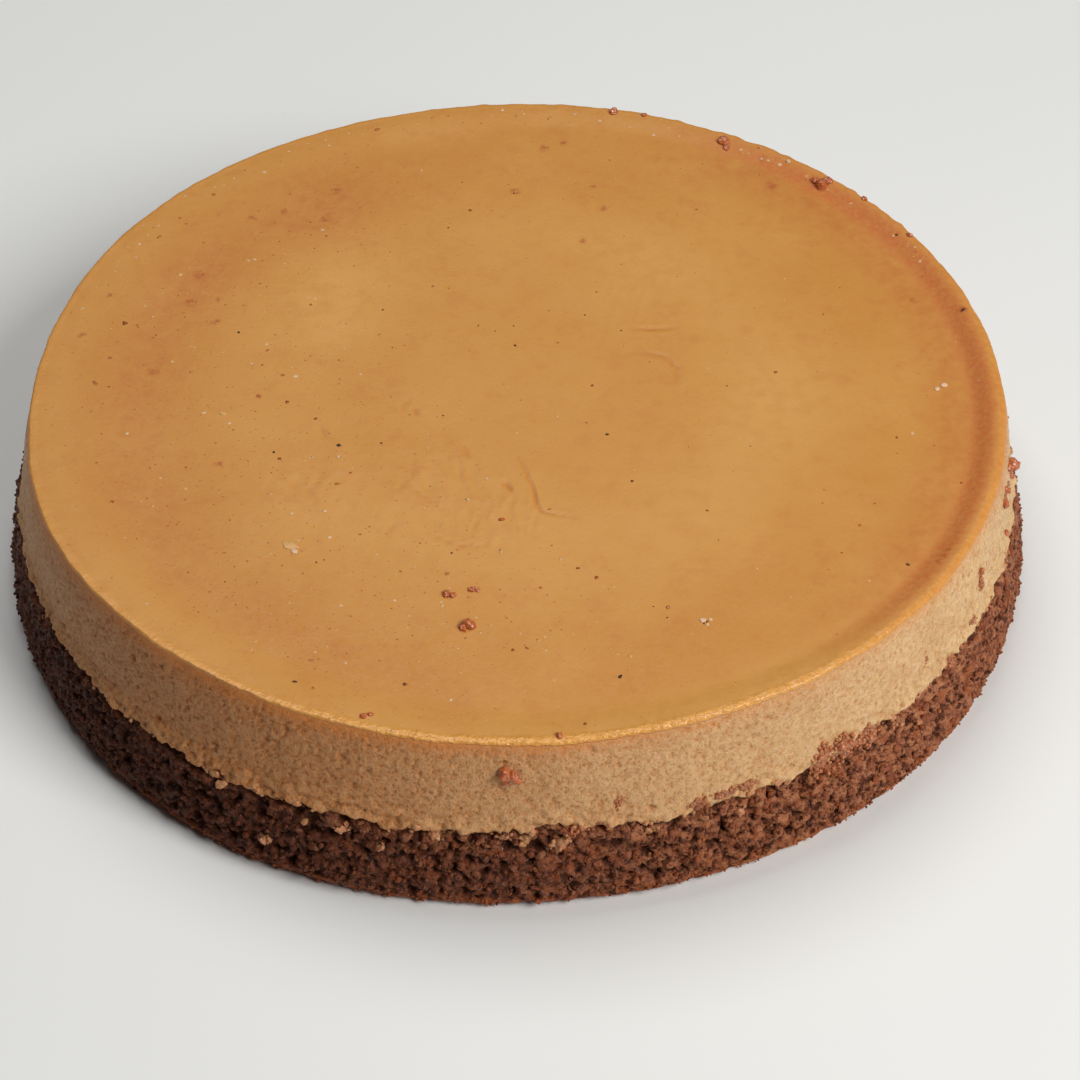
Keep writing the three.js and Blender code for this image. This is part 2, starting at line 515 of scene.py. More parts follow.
def sponge_surface(shape, angle, height, inset):
    """The sponge's side with its crumb: points, and how open and lit it is for painted shade. The crumb fades
    near the underside and away from the wall, and the sponge draws back, with painted shade, just under the
    custard."""
    radius = outer_radius(shape, angle, height) - inset
    even = np.stack([radius * np.cos(angle), radius * np.sin(angle), height], -1)
    relief, open_and_lit = sponge_relief(even / MM)
    free = (0.2 + 0.8 * smooth_step(0.8, 4.0, height / MM)) * np.exp(-inset / (2.5 * MM))
    free = free * (1 - 0.35 * turned_from(angle, -5, 34) - 0.25 * turned_from(angle, -170, 45))
    below_line = (layer_line(shape, angle) - height) / MM
    gap = smooth_step(2.6, 0.6, below_line) * np.clip(0.7 + 1.3 * smooth_noise(even / MM / 4.5, 41), 0, 2.2)
    gap = gap * (0.55 + 0.85 * turned_from(angle, -125, 60))
    hang = smooth_step(0.1, 0.5, smooth_noise(even / MM / np.array([3.4, 3.4, 2.2]), 47))
    hang = hang * hill(below_line, 2.0, 1.9) * free
    # Painted shade: the crumb is darker in the recess just under the custard, and lighter on the lumps that
    # hang out.
    open_and_lit = np.clip(open_and_lit + 0.25 * hang - 0.45 * gap, 0, 1)
    radius = radius + MM * (relief * free * shape.sponge_relief + 1.3 * hang - gap)
    slip = 0.3 * MM * free * smooth_noise(even / MM / 1.3, 42)
    lift = 0.35 * MM * smooth_noise(even / MM / 1.5, 43) * free * smooth_step(0.4, 2.0, height / MM)
    turned = angle + slip / shape.foot_radius
    x = radius * np.cos(turned) - shape.sponge_shift
    return np.stack([x, radius * np.sin(turned), np.maximum(height + lift, 0)], -1), open_and_lit


def sponge_painted_shade(angle):
    """How much painted shade darkens the sponge from 0 to 1: most on the left, some at the back, none on the
    right.
    """
    return 0.85 * turned_from(angle, -138, 58) + 0.5 * turned_from(angle, 110, 60)


def sponge_crust(points):
    """How near the crumb lies to the underside from 0 to 1, with an uneven upper end."""
    return smooth_step(6.0, 0.5, points[..., 2] / MM + 1.2 * smooth_noise(points / MM / 3.0, 44))


def sponge_painted_light(angle):
    """How much painted light pales the sponge from 0 to 1: on the right of the front."""
    return 0.45 * turned_from(angle, -60, 18) + 0.65 * turned_from(angle, -34, 42)


def make_sponge(shape, finish):
    """The sponge: a wall of crumb from the underside to the layer line, closed below by a flat face and above
    by a face that runs in under the custard."""
    columns = 1640
    angle = crowded(np.linspace(0, 2 * math.pi, columns, endpoint=False))
    line = layer_line(shape, angle) + 0.5 * MM
    start = 0.35 * MM
    foot_curl, wall_height = 1.2, 21
    heights = [np.zeros(columns)] * 3
    insets = [40.0, 6.0, 2.2]
    for value in np.linspace(0, 1, 50):
        heights.append(start + value * (line - start))
        insets.append(foot_curl * (1 - min(1.0, value * wall_height / foot_curl)) ** 2)
    for inset, rise in ((1.4, 0.35), (4.5, 0.5), (30.0, 0.5)):
        heights.append(line + rise * MM)
        insets.append(inset)
    heights = np.stack(heights)
    insets = np.array(insets)[:, None] * MM + 0 * heights
    rings, open_and_lit = sponge_surface(shape, angle + 0 * heights, heights, insets)
    middle = -shape.sponge_shift
    ends = ((middle, 0, 0), (middle, 0, shape.layer_height))
    made = build_object("chocolate_sponge", *closed_rings(rings, *ends))
    # Painted shade: low values turn the sponge's colour near black in its pits and gaps.
    add_mask(made, "open_and_lit", np.append(open_and_lit, (0.5, 0.5)))
    add_mask(made, "crust", np.append(sponge_crust(rings), (1.0, 0.0)))
    # Painted shade: the sponge's colour is darkened on its left side, and a little at the back.
    add_mask(made, "painted_shade_side", np.append(np.tile(sponge_painted_shade(angle), len(heights)), (0.5, 0.5)))
    below = (layer_line(shape, angle) - rings[..., 2]) / MM
    # Paler crumb: within 6 mm below the custard as dry crumb, stronger towards the lit front right, and on
    # the right of the front as painted light.
    dry_and_lit = smooth_step(6.0, 0.5, below) * (0.45 + 0.55 * turned_from(angle, -60, 60))
    dry_and_lit = (dry_and_lit + sponge_painted_light(angle)).clip(0, 1)
    add_mask(made, "dry_and_lit", np.append(dry_and_lit, (0.5, 0.5)))
    add_bake_map(made, strip_map(len(heights), columns, 5))
    made.data.materials.append(sponge_material(finish))
    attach(made, BODY)
    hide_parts(SPONGE_NODE)


# ---------------------------------------------------------------- custard


def custard_relief(points, above_line, below_edge):
    """How far the custard's side stands out, in millimetres, and how open and lit it is from 0 to 1, which
    the material paints darker in the pores, partly their own colour and partly painted shade: broad swells, a
    lace of ridges between small pores, a few larger holes, a fold at the front left, and ragged lumps and
    ledges near the layer line."""
    warp = np.stack([smooth_noise(points / 1.5, 61 + axis) for axis in range(3)], -1)
    bent = points + 0.6 * warp
    swell = 0.35 * layered_noise(points / 14.0, 51, 2)
    near, gap, owner = cell_noise(bent / 1.25, 52)
    lace = smooth_step(0.42, 0.0, gap) * (0.4 + 0.6 * owner)
    pores = smooth_step(0.5, 0.1, near) * (owner > 0.35)
    wide, _, wide_owner = cell_noise(bent / 3.4, 53)
    holes = smooth_step(0.32, 0.05, wide) * (wide_owner > 0.75)
    scales = smooth_noise(bent * np.array([0.5, 0.5, 0.9]), 55)
    fine = layered_noise(bent / 1.1, 54, 2)
    low = smooth_step(6.5, 0.5, above_line)
    ledges = smooth_noise(bent * np.array([1 / 4.5, 1 / 4.5, 1 / 1.4]), 56)
    lumps = low * (0.75 * ledges + 0.55 * smooth_noise(bent / 1.5, 57))
    calm = smooth_step(0.0, 2.0, below_edge)
    small = 0.2 * lace + 0.14 * scales + 0.08 * fine - 0.32 * pores - 0.6 * holes
    turned = np.arctan2(points[..., 1], points[..., 0])
    calmer = 1 - 0.4 * turned_from(turned, -12, 48) - 0.35 * turned_from(turned, -168, 35)
    height = swell + calm * small * calmer + lumps
    height += (1 - calm) * 0.08 * smooth_noise(points / 1.1, 58)
    fold = above_line + 0.7 * smooth_noise(points / 6.0, 60)
    height += 0.5 * turned_from(turned, -126, 26) * smooth_step(3.3, 2.7, fold)
    open_and_lit = 0.46 + 0.42 * lace + 0.25 * scales + 0.35 * fine - 0.42 * pores - 0.4 * holes
    return height, np.clip(open_and_lit + 0.3 * lumps, 0, 1)


def soaked_share(angle):
    """How much syrup has soaked in under the edge: most at the front left, and in a stretch on the right."""
    return 0.12 + 0.8 * turned_from(angle, -126, 44) + 0.5 * turned_from(angle, -10, 12)


def custard_surface(shape, angle, height):
    """The custard's side with its relief: points, how open and lit each is, and how far each lies below the
    edge.
    """
    radius = outer_radius(shape, angle, height)
    even = np.stack([radius * np.cos(angle), radius * np.sin(angle), height + 0 * angle], -1)
    above_line = (even[..., 2] - layer_line(shape, angle)) / MM
    below_edge = (wall_top(shape, angle) - even[..., 2]) / MM
    relief, open_and_lit = custard_relief(even / MM, above_line, below_edge)
    relief = relief * shape.custard_relief * MM
    return even + relief[..., None] * outwards(angle), open_and_lit, below_edge


def make_custard(shape, finish):
    """The custard's side: from under the layer line up to the caramel skin, closed below inside the sponge
    and above just under the skin."""
    columns = 1760
    angle = crowded(np.linspace(0, 2 * math.pi, columns, endpoint=False))
    line = custard_foot(shape, angle)
    seam = wall_top(shape, angle) - shape.skin_depth
    outward = outwards(angle)
    rows, open_and_lit, depth = [], [], []

    def add_row(points, open_here, below):
        """Adds one ring with its openness and its depth below the edge."""
        rows.append(points)
        open_and_lit.append(open_here)
        depth.append(below)

    for inset, drop in ((14.0, 0.9), (3.0, 0.9), (0.9, 0.6)):
        points, open_here, below = custard_surface(shape, angle, line - drop * MM)
        add_row(points - outward * inset * MM, open_here * 0.4, below)
    for value in np.linspace(0, 1, 48):
        points, open_here, below = custard_surface(shape, angle, line + value * (seam - line))
        lip = hill(value * (seam - line) / MM, 0.8, 0.8) * (0.35 + 0.5 * smooth_noise(points / MM / 2.2, 59))
        add_row(points + outward * lip[:, None] * MM, open_here, below)
    points, open_here, below = custard_surface(shape, angle, seam + 0.05 * MM)
    add_row(points - outward * 0.25 * MM, open_here, below)
    for inset, drop in ((1.2, 0.8), (4.5, 2.2), (12.0, 0.6)):
        add_row(rows[-1] - outward * inset * MM - np.array((0, 0, drop * MM)), open_here, below)
    rings = np.stack(rows)
    ends = ((0, 0, shape.layer_height - 0.9 * MM), (0, 0, seam.mean() - 3.0 * MM))
    made = build_object("baked_custard", *closed_rings(rings, *ends))
    # Low values paint the pores darker: partly their own colour, partly painted shade.
    add_mask(made, "open_and_lit", np.append(open_and_lit, (0.5, 0.5)))
    add_mask(made, "below_edge", np.append(depth, (20.0, 1.0)))
    # Painted shade and warm reflected light: darker, redder custard on the front left, a little at the front
    # right and the back left.
    brown = 0.97 * turned_from(angle, -122, 48) + 0.12 * turned_from(angle, -58, 22)
    brown += 0.3 * turned_from(angle, 170, 40)
    add_mask(made, "painted_shade_warm", np.append(np.tile(brown, len(rings)), (0.5, 0.5)))
    add_mask(made, "soaked", np.append(np.tile(soaked_share(angle), len(rings)), (0.5, 0.5)))
    add_bake_map(made, strip_map(len(rings), columns, 5))
    made.data.materials.append(custard_material(finish))
    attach(made, BODY)
    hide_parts(CUSTARD_NODE)


# ---------------------------------------------------------------- caramel top

# Spots where the syrup is burnt: x, y and reach in millimetres.
BURNT_SPOTS = (
    (60.8, 75.0, 1.7),
    (59.0, 85.0, 1.1),
    (6.0, 90.0, 1.4),
    (10.7, 92.0, 1.1),
    (-1.0, 73.0, 1.5),
    (17.7, 75.0, 1.1),
    (15.0, 54.0, 1.0),
    (19.7, 66.5, 1.3),
    (-44.0, 73.0, 1.5),
    (-46.0, 62.0, 1.6),
    (-56.0, 65.0, 1.2),
    (-63.5, 62.5, 1.3),
    (-74.5, 41.0, 1.7),
    (-75.5, 31.0, 1.7),
    (-69.0, 32.0, 1.0),
    (-69.3, 24.0, 1.2),
    (-82.0, 6.5, 1.4),
    (-94.0, 33.0, 1.1),
    (-99.4, 18.7, 1.1),
    (-65.3, -24.4, 1.2),
    (101.5, 27.0, 1.6),
    (91.0, 32.0, 1.0),
    (89.7, -54.5, 0.9),
    (90.8, -52.6, 0.9),
    (88.4, -56.2, 0.8),
)

# Soft patches of the skin that are wrinkled, pebbled, specked, stained, worn pale, spotted with burnt syrup
# and curdled: each has its strength, then x, y and reach in millimetres.
WRINKLED = ((1.0, -19, -27, 13), (0.8, -4, -40, 11), (0.6, 30, 26, 14), (0.8, -46, -30, 12))
PEBBLED = ((1.0, -45, 66, 13), (0.6, -66, 48, 16))
SPECKED = ((0.9, -66, -8, 48), (0.9, -46, -60, 38), (1.0, -45, 66, 22), (0.5, 0, -84, 34), (0.3, 10, 70, 30))
STAINED = ((1.1, -45, 66, 12), (0.5, -74, 38, 12), (0.25, -10, 82, 22), (0.4, 48, 84, 12))
WORN = (
    (0.5, -42, 36, 14),
    (0.4, -40, 20, 10),
    (0.45, 60, -4, 20),
    (0.3, 30, -36, 18),
    (0.3, 32, 48, 20),
    (0.3, -12, -34, 20),
    (0.4, 0, 4, 34),
)
SPOTTED = ((0.45, -70, 10, 42), (0.6, -45, 66, 16), (0.35, -45, -70, 32), (0.1, 10, -70, 30))
CURDLED = ((0.9, -40, -68, 34), (0.4, -70, 20, 40), (0.5, 0, -75, 20))

# Creases of the skin, as points on the top in millimetres with the crease's depth and half width.
CREASES = (
    (
        ((-0.2, -21.3), (1.6, -26.8), (3.2, -32.2), (3.8, -36.8), (4.9, -39.3), (7.6, -40.3), (13.0, -41.4)),
        0.34,
        0.4,
    ),
    (((-24.5, -30.1), (-22.4, -32.5), (-17.9, -37.3), (-14.2, -41.0)), 0.18, 0.35),
    (((-19.1, -46.3), (-14.0, -49.4), (-10.0, -51.0), (-6.1, -49.9)), 0.26, 0.4),
    (((-12.3, -48.3), (-9.4, -49.8), (-8.7, -51.6)), 0.18, 0.35),
    (((-25.7, -5.9), (-25.2, -4.1), (-24.3, -2.4)), 0.18, 0.45),
    (((-23.1, -5.7), (-22.3, -8.0)), 0.3, 0.5),
    (((-12.5, -17.0), (-10.8, -22.4)), 0.18, 0.5),
    (((-2.9, -30.0), (-1.0, -33.8)), 0.34, 0.5),
    (((-43.8, -11.0), (-41.6, -16.4)), 0.24, 0.5),
    (((-41.4, -25.0), (-43.0, -29.5), (-45.2, -33.5), (-43.0, -36.5)), 0.26, 0.5),
    (((-23.6, -28.8), (-27.0, -34.0)), 0.16, 0.4),
    (((-26.0, -42.5), (-28.4, -47.2)), 0.16, 0.4),
    (((-8.0, -40.5), (-9.8, -46.0)), 0.18, 0.4),
    (((28.5, 13.5), (33.0, 12.0), (35.6, 8.0), (35.2, 3.0)), 0.22, 0.6),
    (((26.0, 22.0), (31.0, 21.5), (35.5, 22.5)), 0.22, 0.6),
)


def distance_to_line(x, y, corners):
    """Distance from each place to a broken line through corners, and the share of the way along it."""
    nearest = np.full(x.shape, 1e9)
    along = np.zeros(x.shape)
    steps = list(itertools.pairwise(corners))
    for number, ((ax, ay), (bx, by)) in enumerate(steps):
        run = (bx - ax) ** 2 + (by - ay) ** 2
        t = np.clip(((x - ax) * (bx - ax) + (y - ay) * (by - ay)) / run, 0, 1)
        distance = np.hypot(x - ax - t * (bx - ax), y - ay - t * (by - ay))
        along = np.where(distance < nearest, (number + t) / len(steps), along)
        nearest = np.minimum(nearest, distance)
    return nearest, along


def patch(x, y, centre, reach):
    """A soft round patch that fades with the square of the distance, as exp(-(d / reach)^2)."""
    return np.exp(-((x - centre[0]) ** 2 + (y - centre[1]) ** 2) / reach**2)


def patches(x, y, spots):
    """The sum of soft round patches, each with its strength, x, y and reach."""
    return sum(strength * patch(x, y, centre, reach) for strength, *centre, reach in spots)


def wrinkles(x, y):
    """How wrinkled the skin is at each place, and a folded noise that is 0 along each wrinkle's bottom."""
    flat = np.stack([x, y, 0 * x], -1)
    bend = np.stack([x + 3 * smooth_noise(flat / 9.0, 73), y * 0.3, 0 * x], -1)
    return patches(x, y, WRINKLED), np.abs(smooth_noise(bend / 2.7, 74))


def crease_place(x, y, corners):
    """Distance from a crease, and how strong the crease is at the nearest place along it."""
    wobble = 0.5 * smooth_noise(np.stack([x, y, 0 * x], -1) / 3.0, 75)
    distance, along = distance_to_line(x + wobble, y - wobble, corners)
    return distance, np.sin(np.pi * np.clip(0.12 + 0.8 * along, 0, 1))


def crease_shade(x, y):
    """How much painted shade darkens the creases and the bottoms of wrinkles, from 0 to 1."""
    wrinkled, bend = wrinkles(x, y)
    shade = 0.4 * wrinkled * smooth_step(0.08, 0.0, bend)
    for corners, depth, width in CREASES:
        distance, fade = crease_place(x, y, corners)
        shade = np.maximum(shade, min(1.0, 3.0 * depth) * fade * hill(distance, 0, 0.75 * width))
    return shade


def crown_beads(angle):
    """How beaded the crown is: strongly along the front, a little elsewhere."""
    return 0.15 + 0.8 * turned_from(angle, -86, 42) + 0.15 * turned_from(angle, -12, 30)


def top_relief(x, y, inset):
    """Height of the small shapes on the top, in millimetres: slow swells, a wrinkled field, creases with a
    raised lip, pimples, and a beaded crown."""
    flat = np.stack([x, y, 0 * x], -1)
    height = 0.16 * smooth_noise(flat / 34.0, 71) + 0.05 * smooth_noise(flat / 11.0, 72)
    wrinkled, bend = wrinkles(x, y)
    height += 0.2 * wrinkled * (1 - 2 * bend)
    for corners, depth, width in CREASES:
        distance, fade = crease_place(x, y, corners)
        height -= depth * fade * hill(distance, 0, width)
        height += 0.25 * depth * fade * hill(distance, 2.2 * width, 1.4 * width)
    rough = patches(x, y, PEBBLED) + 0.35 * smooth_step(8, 0, inset)
    height += rough * 0.07 * smooth_noise(flat / 1.5, 76)
    near, _, owner = cell_noise(flat / 4.0, 77)
    crowd = 0.25 + 0.75 * patch(x, y, (-45, -62), 42)
    height += 0.13 * smooth_step(0.16, 0.04, near) * (owner < 0.3 * crowd)
    turned = np.arctan2(y, x)
    beads = smooth_step(3.2, 1.4, inset) * crown_beads(turned)
    height += beads * 0.16 * smooth_noise(flat / 1.2, 78)
    height += smooth_step(4.0, 1.8, inset) * 0.14 * smooth_noise(flat / 4.5, 79)
    return height


def disc_grid(steps):
    """A square grid bent to a disc: each square ring round the middle becomes a circle of the same reach,
    with its points evenly spaced. Gives the reach from 0 to 1 and the angle of each point."""
    line = np.linspace(-1, 1, steps + 1)
    u, v = np.meshgrid(line, line)
    wide = np.abs(u) > np.abs(v)
    reach = np.where(wide, u, v)
    other = np.where(wide, v, u)
    ratio = other / np.where(reach == 0, 1, reach)
    angle = np.where(wide, ratio * math.pi / 4, math.pi / 2 - ratio * math.pi / 4)
    angle = angle + np.where(reach < 0, math.pi, 0)
    return np.abs(reach), angle


def draw_in(x, y, centre, reach, share_in):
    """Places moved towards a centre by share_in * exp(-(d / reach)^2) of their distance d, so that a grid is
    finest where the skin is creased."""
    pull = share_in * patch(x, y, centre, reach)
    return x - pull * (x - centre[0]), y - pull * (y - centre[1])


def top_point(shape, angle, radius):
    """Points of the top between the middle and the crown, with their relief."""
    x, y = radius * np.cos(angle), radius * np.sin(angle)
    inset = edge_radius(shape, angle) - radius
    relief = top_relief(x / MM, y / MM, inset / MM) * shape.top_relief * MM
    return np.stack([x, y, rim_and_dish(shape, angle, radius) + relief], -1)


def edge_rows(shape, around):
    """Rings from the inner slope over the crown, round the edge and down the wall to the skin's lower end,
    then in under the skin. The round edge is a quarter of a squarish ellipse, with powers 0.8, from the crown
    to the wall."""
    outward = outwards(around)
    top = wall_top(shape, around)
    edge = edge_radius(shape, around)
    reach = crown_reach(shape, around)
    rows = [top_point(shape, around, edge - inset) for inset in np.linspace(5.0 * MM, reach, 6)]
    crown, start = rows[-1], custard_surface(shape, around, top)[0]
    for turn in np.radians(np.linspace(77, 0, 7)):
        point = crown + (start - crown) * math.cos(turn) ** 0.8
        point[:, 2] = top + (crown[:, 2] - top) * math.sin(turn) ** 0.8
        bead = 0.17 * crown_beads(around) * smooth_noise(point / MM / 1.1, 78)
        bead += (0.12 + 0.3 * turned_from(around, 60, 45)) * smooth_noise(point / MM / 3.2, 80)
        lift = (bead * math.sin(2 * turn) ** 2 * MM)[:, None]
        rows.append(point + (outward + np.array((0, 0, 0.6))) * lift)
    for drop, inset in ((0, 0), (0.25, 0.05), (0.5, 0.3)):
        below = custard_surface(shape, around, top - (shape.skin_depth + drop * MM))[0]
        rows.append(below - outward * inset * MM)
    rows.append(below - outward * MM)
    rows.append(below - outward * 9.0 * MM - np.array((0, 0, 1.5 * MM)))
    return rows


def flat_places(shape, points):
    """Places of the top on its flat map: straight down on the middle, and past the crown pushed out by the
    depth below it."""
    x, y = points[:, 0], points[:, 1]
    away = np.hypot(x, y)
    depth = np.maximum(shape.height - 0.8 * MM - points[:, 2], 0)
    depth = np.where(edge_radius(shape, np.arctan2(y, x)) - away > 3 * MM, 0, depth)
    spread = 1 + depth / (away + MM)
    return np.stack([x * spread, y * spread], -1) / FLAT_MAP_WIDTH + 0.5


def add_caramel_masks(made, shape, place):
    """Stores the numbers that the caramel skin's material reads, at places in millimetres."""
    x, y = place[:, 0], place[:, 1]
    turned, away = np.arctan2(y, x), np.hypot(x, y)
    inset = edge_radius(shape, turned) / MM - away
    add_mask(made, "inset", inset)
    right = smooth_step(0.4, 0.8, np.cos(turned - math.radians(8)))
    slope = smooth_step(1.5, 3.9, inset) * smooth_step(9.0, 6.2, inset)
    add_mask(made, "pool", right * (0.4 * smooth_step(9.5, 6.5, inset) + 0.55 * slope))
    depth = shape.height / MM - place[:, 2]
    waver = 0.35 * smooth_noise(place / 1.6, 82)
    sharp = 0.85 * turned_from(turned, -125, 75)
    outside = inset < 2.0
    add_mask(made, "side", smooth_step(1.0 + waver - sharp, 1.6 + waver - sharp, depth) * outside)
    add_mask(made, "soaked", soaked_share(turned))
    flushed = smooth_step(0.3, 0.8, depth) * outside * (0.5 * turned_from(turned, -150, 50) + 0.08)
    add_mask(made, "flushed", flushed)
    add_mask(made, "specked", 0.15 + patches(x, y, SPECKED))
    add_mask(made, "beaded", crown_beads(turned))
    # On the right, a soft band about 11 mm in from the wall is made darker.
    stain = patches(x, y, STAINED) + 1.3 * right * hill(inset, 11, 6.0)
    stain += hill(inset, 25, 9) * turned_from(turned, 172, 50)
    stain += 0.5 * hill(inset, 18, 7) * turned_from(turned, -125, 36)
    add_mask(made, "stain", stain)
    # Painted light: the inner slope at the front and front right is made paler where it faces away from the
    # light.
    lit_slope = 0.25 * turned_from(turned, -90, 60) + 0.5 * turned_from(turned, -48, 34)
    worn_and_lit = 0.35 * hill(inset, 6, 4.5) * turned_from(turned, 170, 80)
    worn_and_lit += smooth_step(1.0, 2.0, inset) * smooth_step(13, 4, inset) * lit_slope
    add_mask(made, "pale", 0.42 * hill(away, 56, 15) + patches(x, y, WORN) + worn_and_lit)
    # Painted shade in the creases and the bottoms of wrinkles.
    add_mask(made, "crease", crease_shade(x, y))
    burnt = sum(patch(x, y, centre, reach) for *centre, reach in BURNT_SPOTS)
    under_crumbs = sum(patch(x, y, centre, 1.4 * reach) for *centre, reach, _ in TOP_CRUMBS)
    add_mask(made, "burnt", np.clip(burnt + 0.6 * under_crumbs, 0, 1))


def make_caramel_top(shape, finish):
    """The caramel skin: a disc grid over the dish, twice as many columns round the rim's edge and a short
    stretch of the wall, and a closing face inside."""
    steps = 240
    disc_inset = 5.6 * MM
    reach, angle = disc_grid(steps)
    radius = reach * (edge_radius(shape, angle) - disc_inset)
    x, y = radius * np.cos(angle) / MM, radius * np.sin(angle) / MM
    x, y = draw_in(x, y, (2.0, -35.0), 24.0, 0.45)
    disc = top_point(shape, np.arctan2(y, x), np.hypot(x, y) * MM)
    numbers = np.arange((steps + 1) ** 2).reshape(steps + 1, steps + 1)
    grid = np.stack([numbers[:-1, :-1], numbers[:-1, 1:], numbers[1:, 1:], numbers[1:, :-1]], -1)
    border = np.concatenate([numbers[0, :-1], numbers[:-1, -1], numbers[-1, :0:-1], numbers[:0:-1, 0]])
    turn = angle.ravel()[border]
    around = np.stack([turn, turn + math.pi / len(turn)], -1).ravel()
    rows = edge_rows(shape, around)
    first = (steps + 1) ** 2 + np.arange(len(rows))[:, None] * len(around)
    rings = first + np.arange(len(around))[None]
    even, odd = rings[0][::2], rings[0][1::2]
    inner_next, even_next = np.roll(border, -1), np.roll(even, -1)
    joint = [(even, odd, border), (odd, inner_next, border), (odd, even_next, inner_next)]
    joint = np.concatenate([np.stack(corner, -1) for corner in joint])
    seam = shape.height - shape.edge_drop - shape.skin_depth
    points = np.concatenate([disc.reshape(-1, 3), *rows, [(0, 0, seam - 3.5 * MM)]])
    quads = np.concatenate([grid.reshape(-1, 4), ring_quads(rings[1:], rings[:-1])])
    triangles = np.concatenate([joint, fan(rings[-1][::-1], len(points) - 1)])
    made = build_object("caramel_top", points, quads, triangles)
    add_caramel_masks(made, shape, points / MM)
    corners = np.concatenate([quads.ravel(), triangles.ravel()])
    hidden = np.zeros(len(corners), bool)
    hidden[4 * (len(quads) - 2 * len(around)) : 4 * len(quads)] = True
    hidden[-3 * len(around) :] = True
    shown_places = flat_places(shape, points)[corners]
    hidden_places = points[corners, :2] / FLAT_MAP_WIDTH * 0.07 + 0.955
    add_bake_map(made, np.where(hidden[:, None], hidden_places, shown_places))
    made.data.materials.append(caramel_material(finish))
    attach(made, BODY)


# ---------------------------------------------------------------- small pieces on the surface


def seat_on_top(shape, x, y):
    """Points of the top skin above places given in millimetres, and the directions straight out of it."""
    x, y = np.asarray(x, float) * MM, np.asarray(y, float) * MM
    angle, radius = np.arctan2(y, x), np.hypot(x, y)
    seats = top_point(shape, angle, radius)
    inward = top_point(shape, angle, radius - 0.8 * MM)
    fall = (seats[..., 2] - inward[..., 2]) / (0.8 * MM)
    outward = np.stack([-fall * np.cos(angle), -fall * np.sin(angle), np.ones_like(angle)], -1)
    return seats, unit(outward)


def seat_on_side(shape, degrees, height):
    """Points of the side at angles in degrees and heights in millimetres, on custard above the layer line and
    on sponge below it, and the directions straight out."""
    angle = np.radians(np.asarray(degrees, float))
    height = np.asarray(height, float) * MM + 0 * angle
    custard = custard_surface(shape, angle, height)[0]
    sponge = sponge_surface(shape, angle, height, 0 * angle)[0]
    above = (height > layer_line(shape, angle))[..., None]
    return np.where(above, custard, sponge), outwards(angle, 0.12)


def frames_of(normals, turns):
    """Two directions across each normal, turned about it by the given angles."""
    pole = np.where(np.abs(normals[..., 2:3]) > 0.8, (1.0, 0.0, 0.0), (0.0, 0.0, 1.0))
    first = unit(np.cross(pole, normals))
    second = np.cross(normals, first)
    cosine, sine = np.cos(turns)[..., None], np.sin(turns)[..., None]
    return first * cosine + second * sine, second * cosine - first * sine


def grain_ball():
    """A ball of 18 points and 32 triangles: an octahedron with each edge halved and pushed out."""
    points, faces = [], []
    for signs in itertools.product((1, -1), repeat=3):
        a, b, c = np.diag(signs).astype(float)
        base = len(points)
        points += [a, b, c, (a + b) / math.sqrt(2), (b + c) / math.sqrt(2), (c + a) / math.sqrt(2)]
        made = [(0, 3, 5), (3, 1, 4), (5, 4, 2), (3, 4, 5)]
        order = (0, 1, 2) if signs[0] * signs[1] * signs[2] > 0 else (0, 2, 1)
        faces += [[base + face[i] for i in order] for face in made]
    points, numbers = np.unique(np.round(points, 6), axis=0, return_inverse=True)
    return points, numbers.ravel()[np.array(faces)]


def bead_ball():
    """A ball of 12 points and 20 triangles: two caps of five and a belt between them."""
    turn = 0.4 * math.pi * np.arange(5)
    low, wide = 1 / math.sqrt(5), 2 / math.sqrt(5)
    upper = outwards(turn) * wide + np.array((0, 0, low))
    lower = outwards(turn + 0.2 * math.pi) * wide - np.array((0, 0, low))
    points = np.concatenate([[(0, 0, 1)], upper, lower, [(0, 0, -1)]])
    faces = []
    for number in range(5):
        after = (number + 1) % 5
        faces += [(0, 1 + number, 1 + after), (1 + number, 6 + number, 1 + after)]
        faces += [(6 + number, 6 + after, 1 + after), (11, 6 + after, 6 + number)]
    return points, np.array(faces)


def scatter_grains(seats, normals, sizes, flatness, roughness, chance, ball_kind=grain_ball):
    """One small uneven ball for each seat: each point of the ball moves in or out by a random share, the ball
    is stretched at random, flattened along the normal and turned about it."""
    ball, faces = ball_kind()
    count = len(seats)
    first, second = frames_of(normals, chance.uniform(0, 2 * math.pi, count))
    swell = 1 + roughness * chance.uniform(-1, 1, (count, len(ball), 1))
    reach = np.stack([sizes, sizes, sizes * flatness], -1)[:, None]
    stretch = chance.uniform(0.75, 1.3, (count, 1, 3)) * reach
    local = ball * swell * stretch
    axes = np.stack([first, second, normals], 1)
    points = seats[:, None] + np.einsum("nki,nij->nkj", local, axes)
    points[..., 2] = np.maximum(points[..., 2], 0)
    numbers = faces[None] + (np.arange(count) * len(ball))[:, None, None]
    return points.reshape(-1, 3), np.empty((0, 4), int), numbers.reshape(-1, 3)


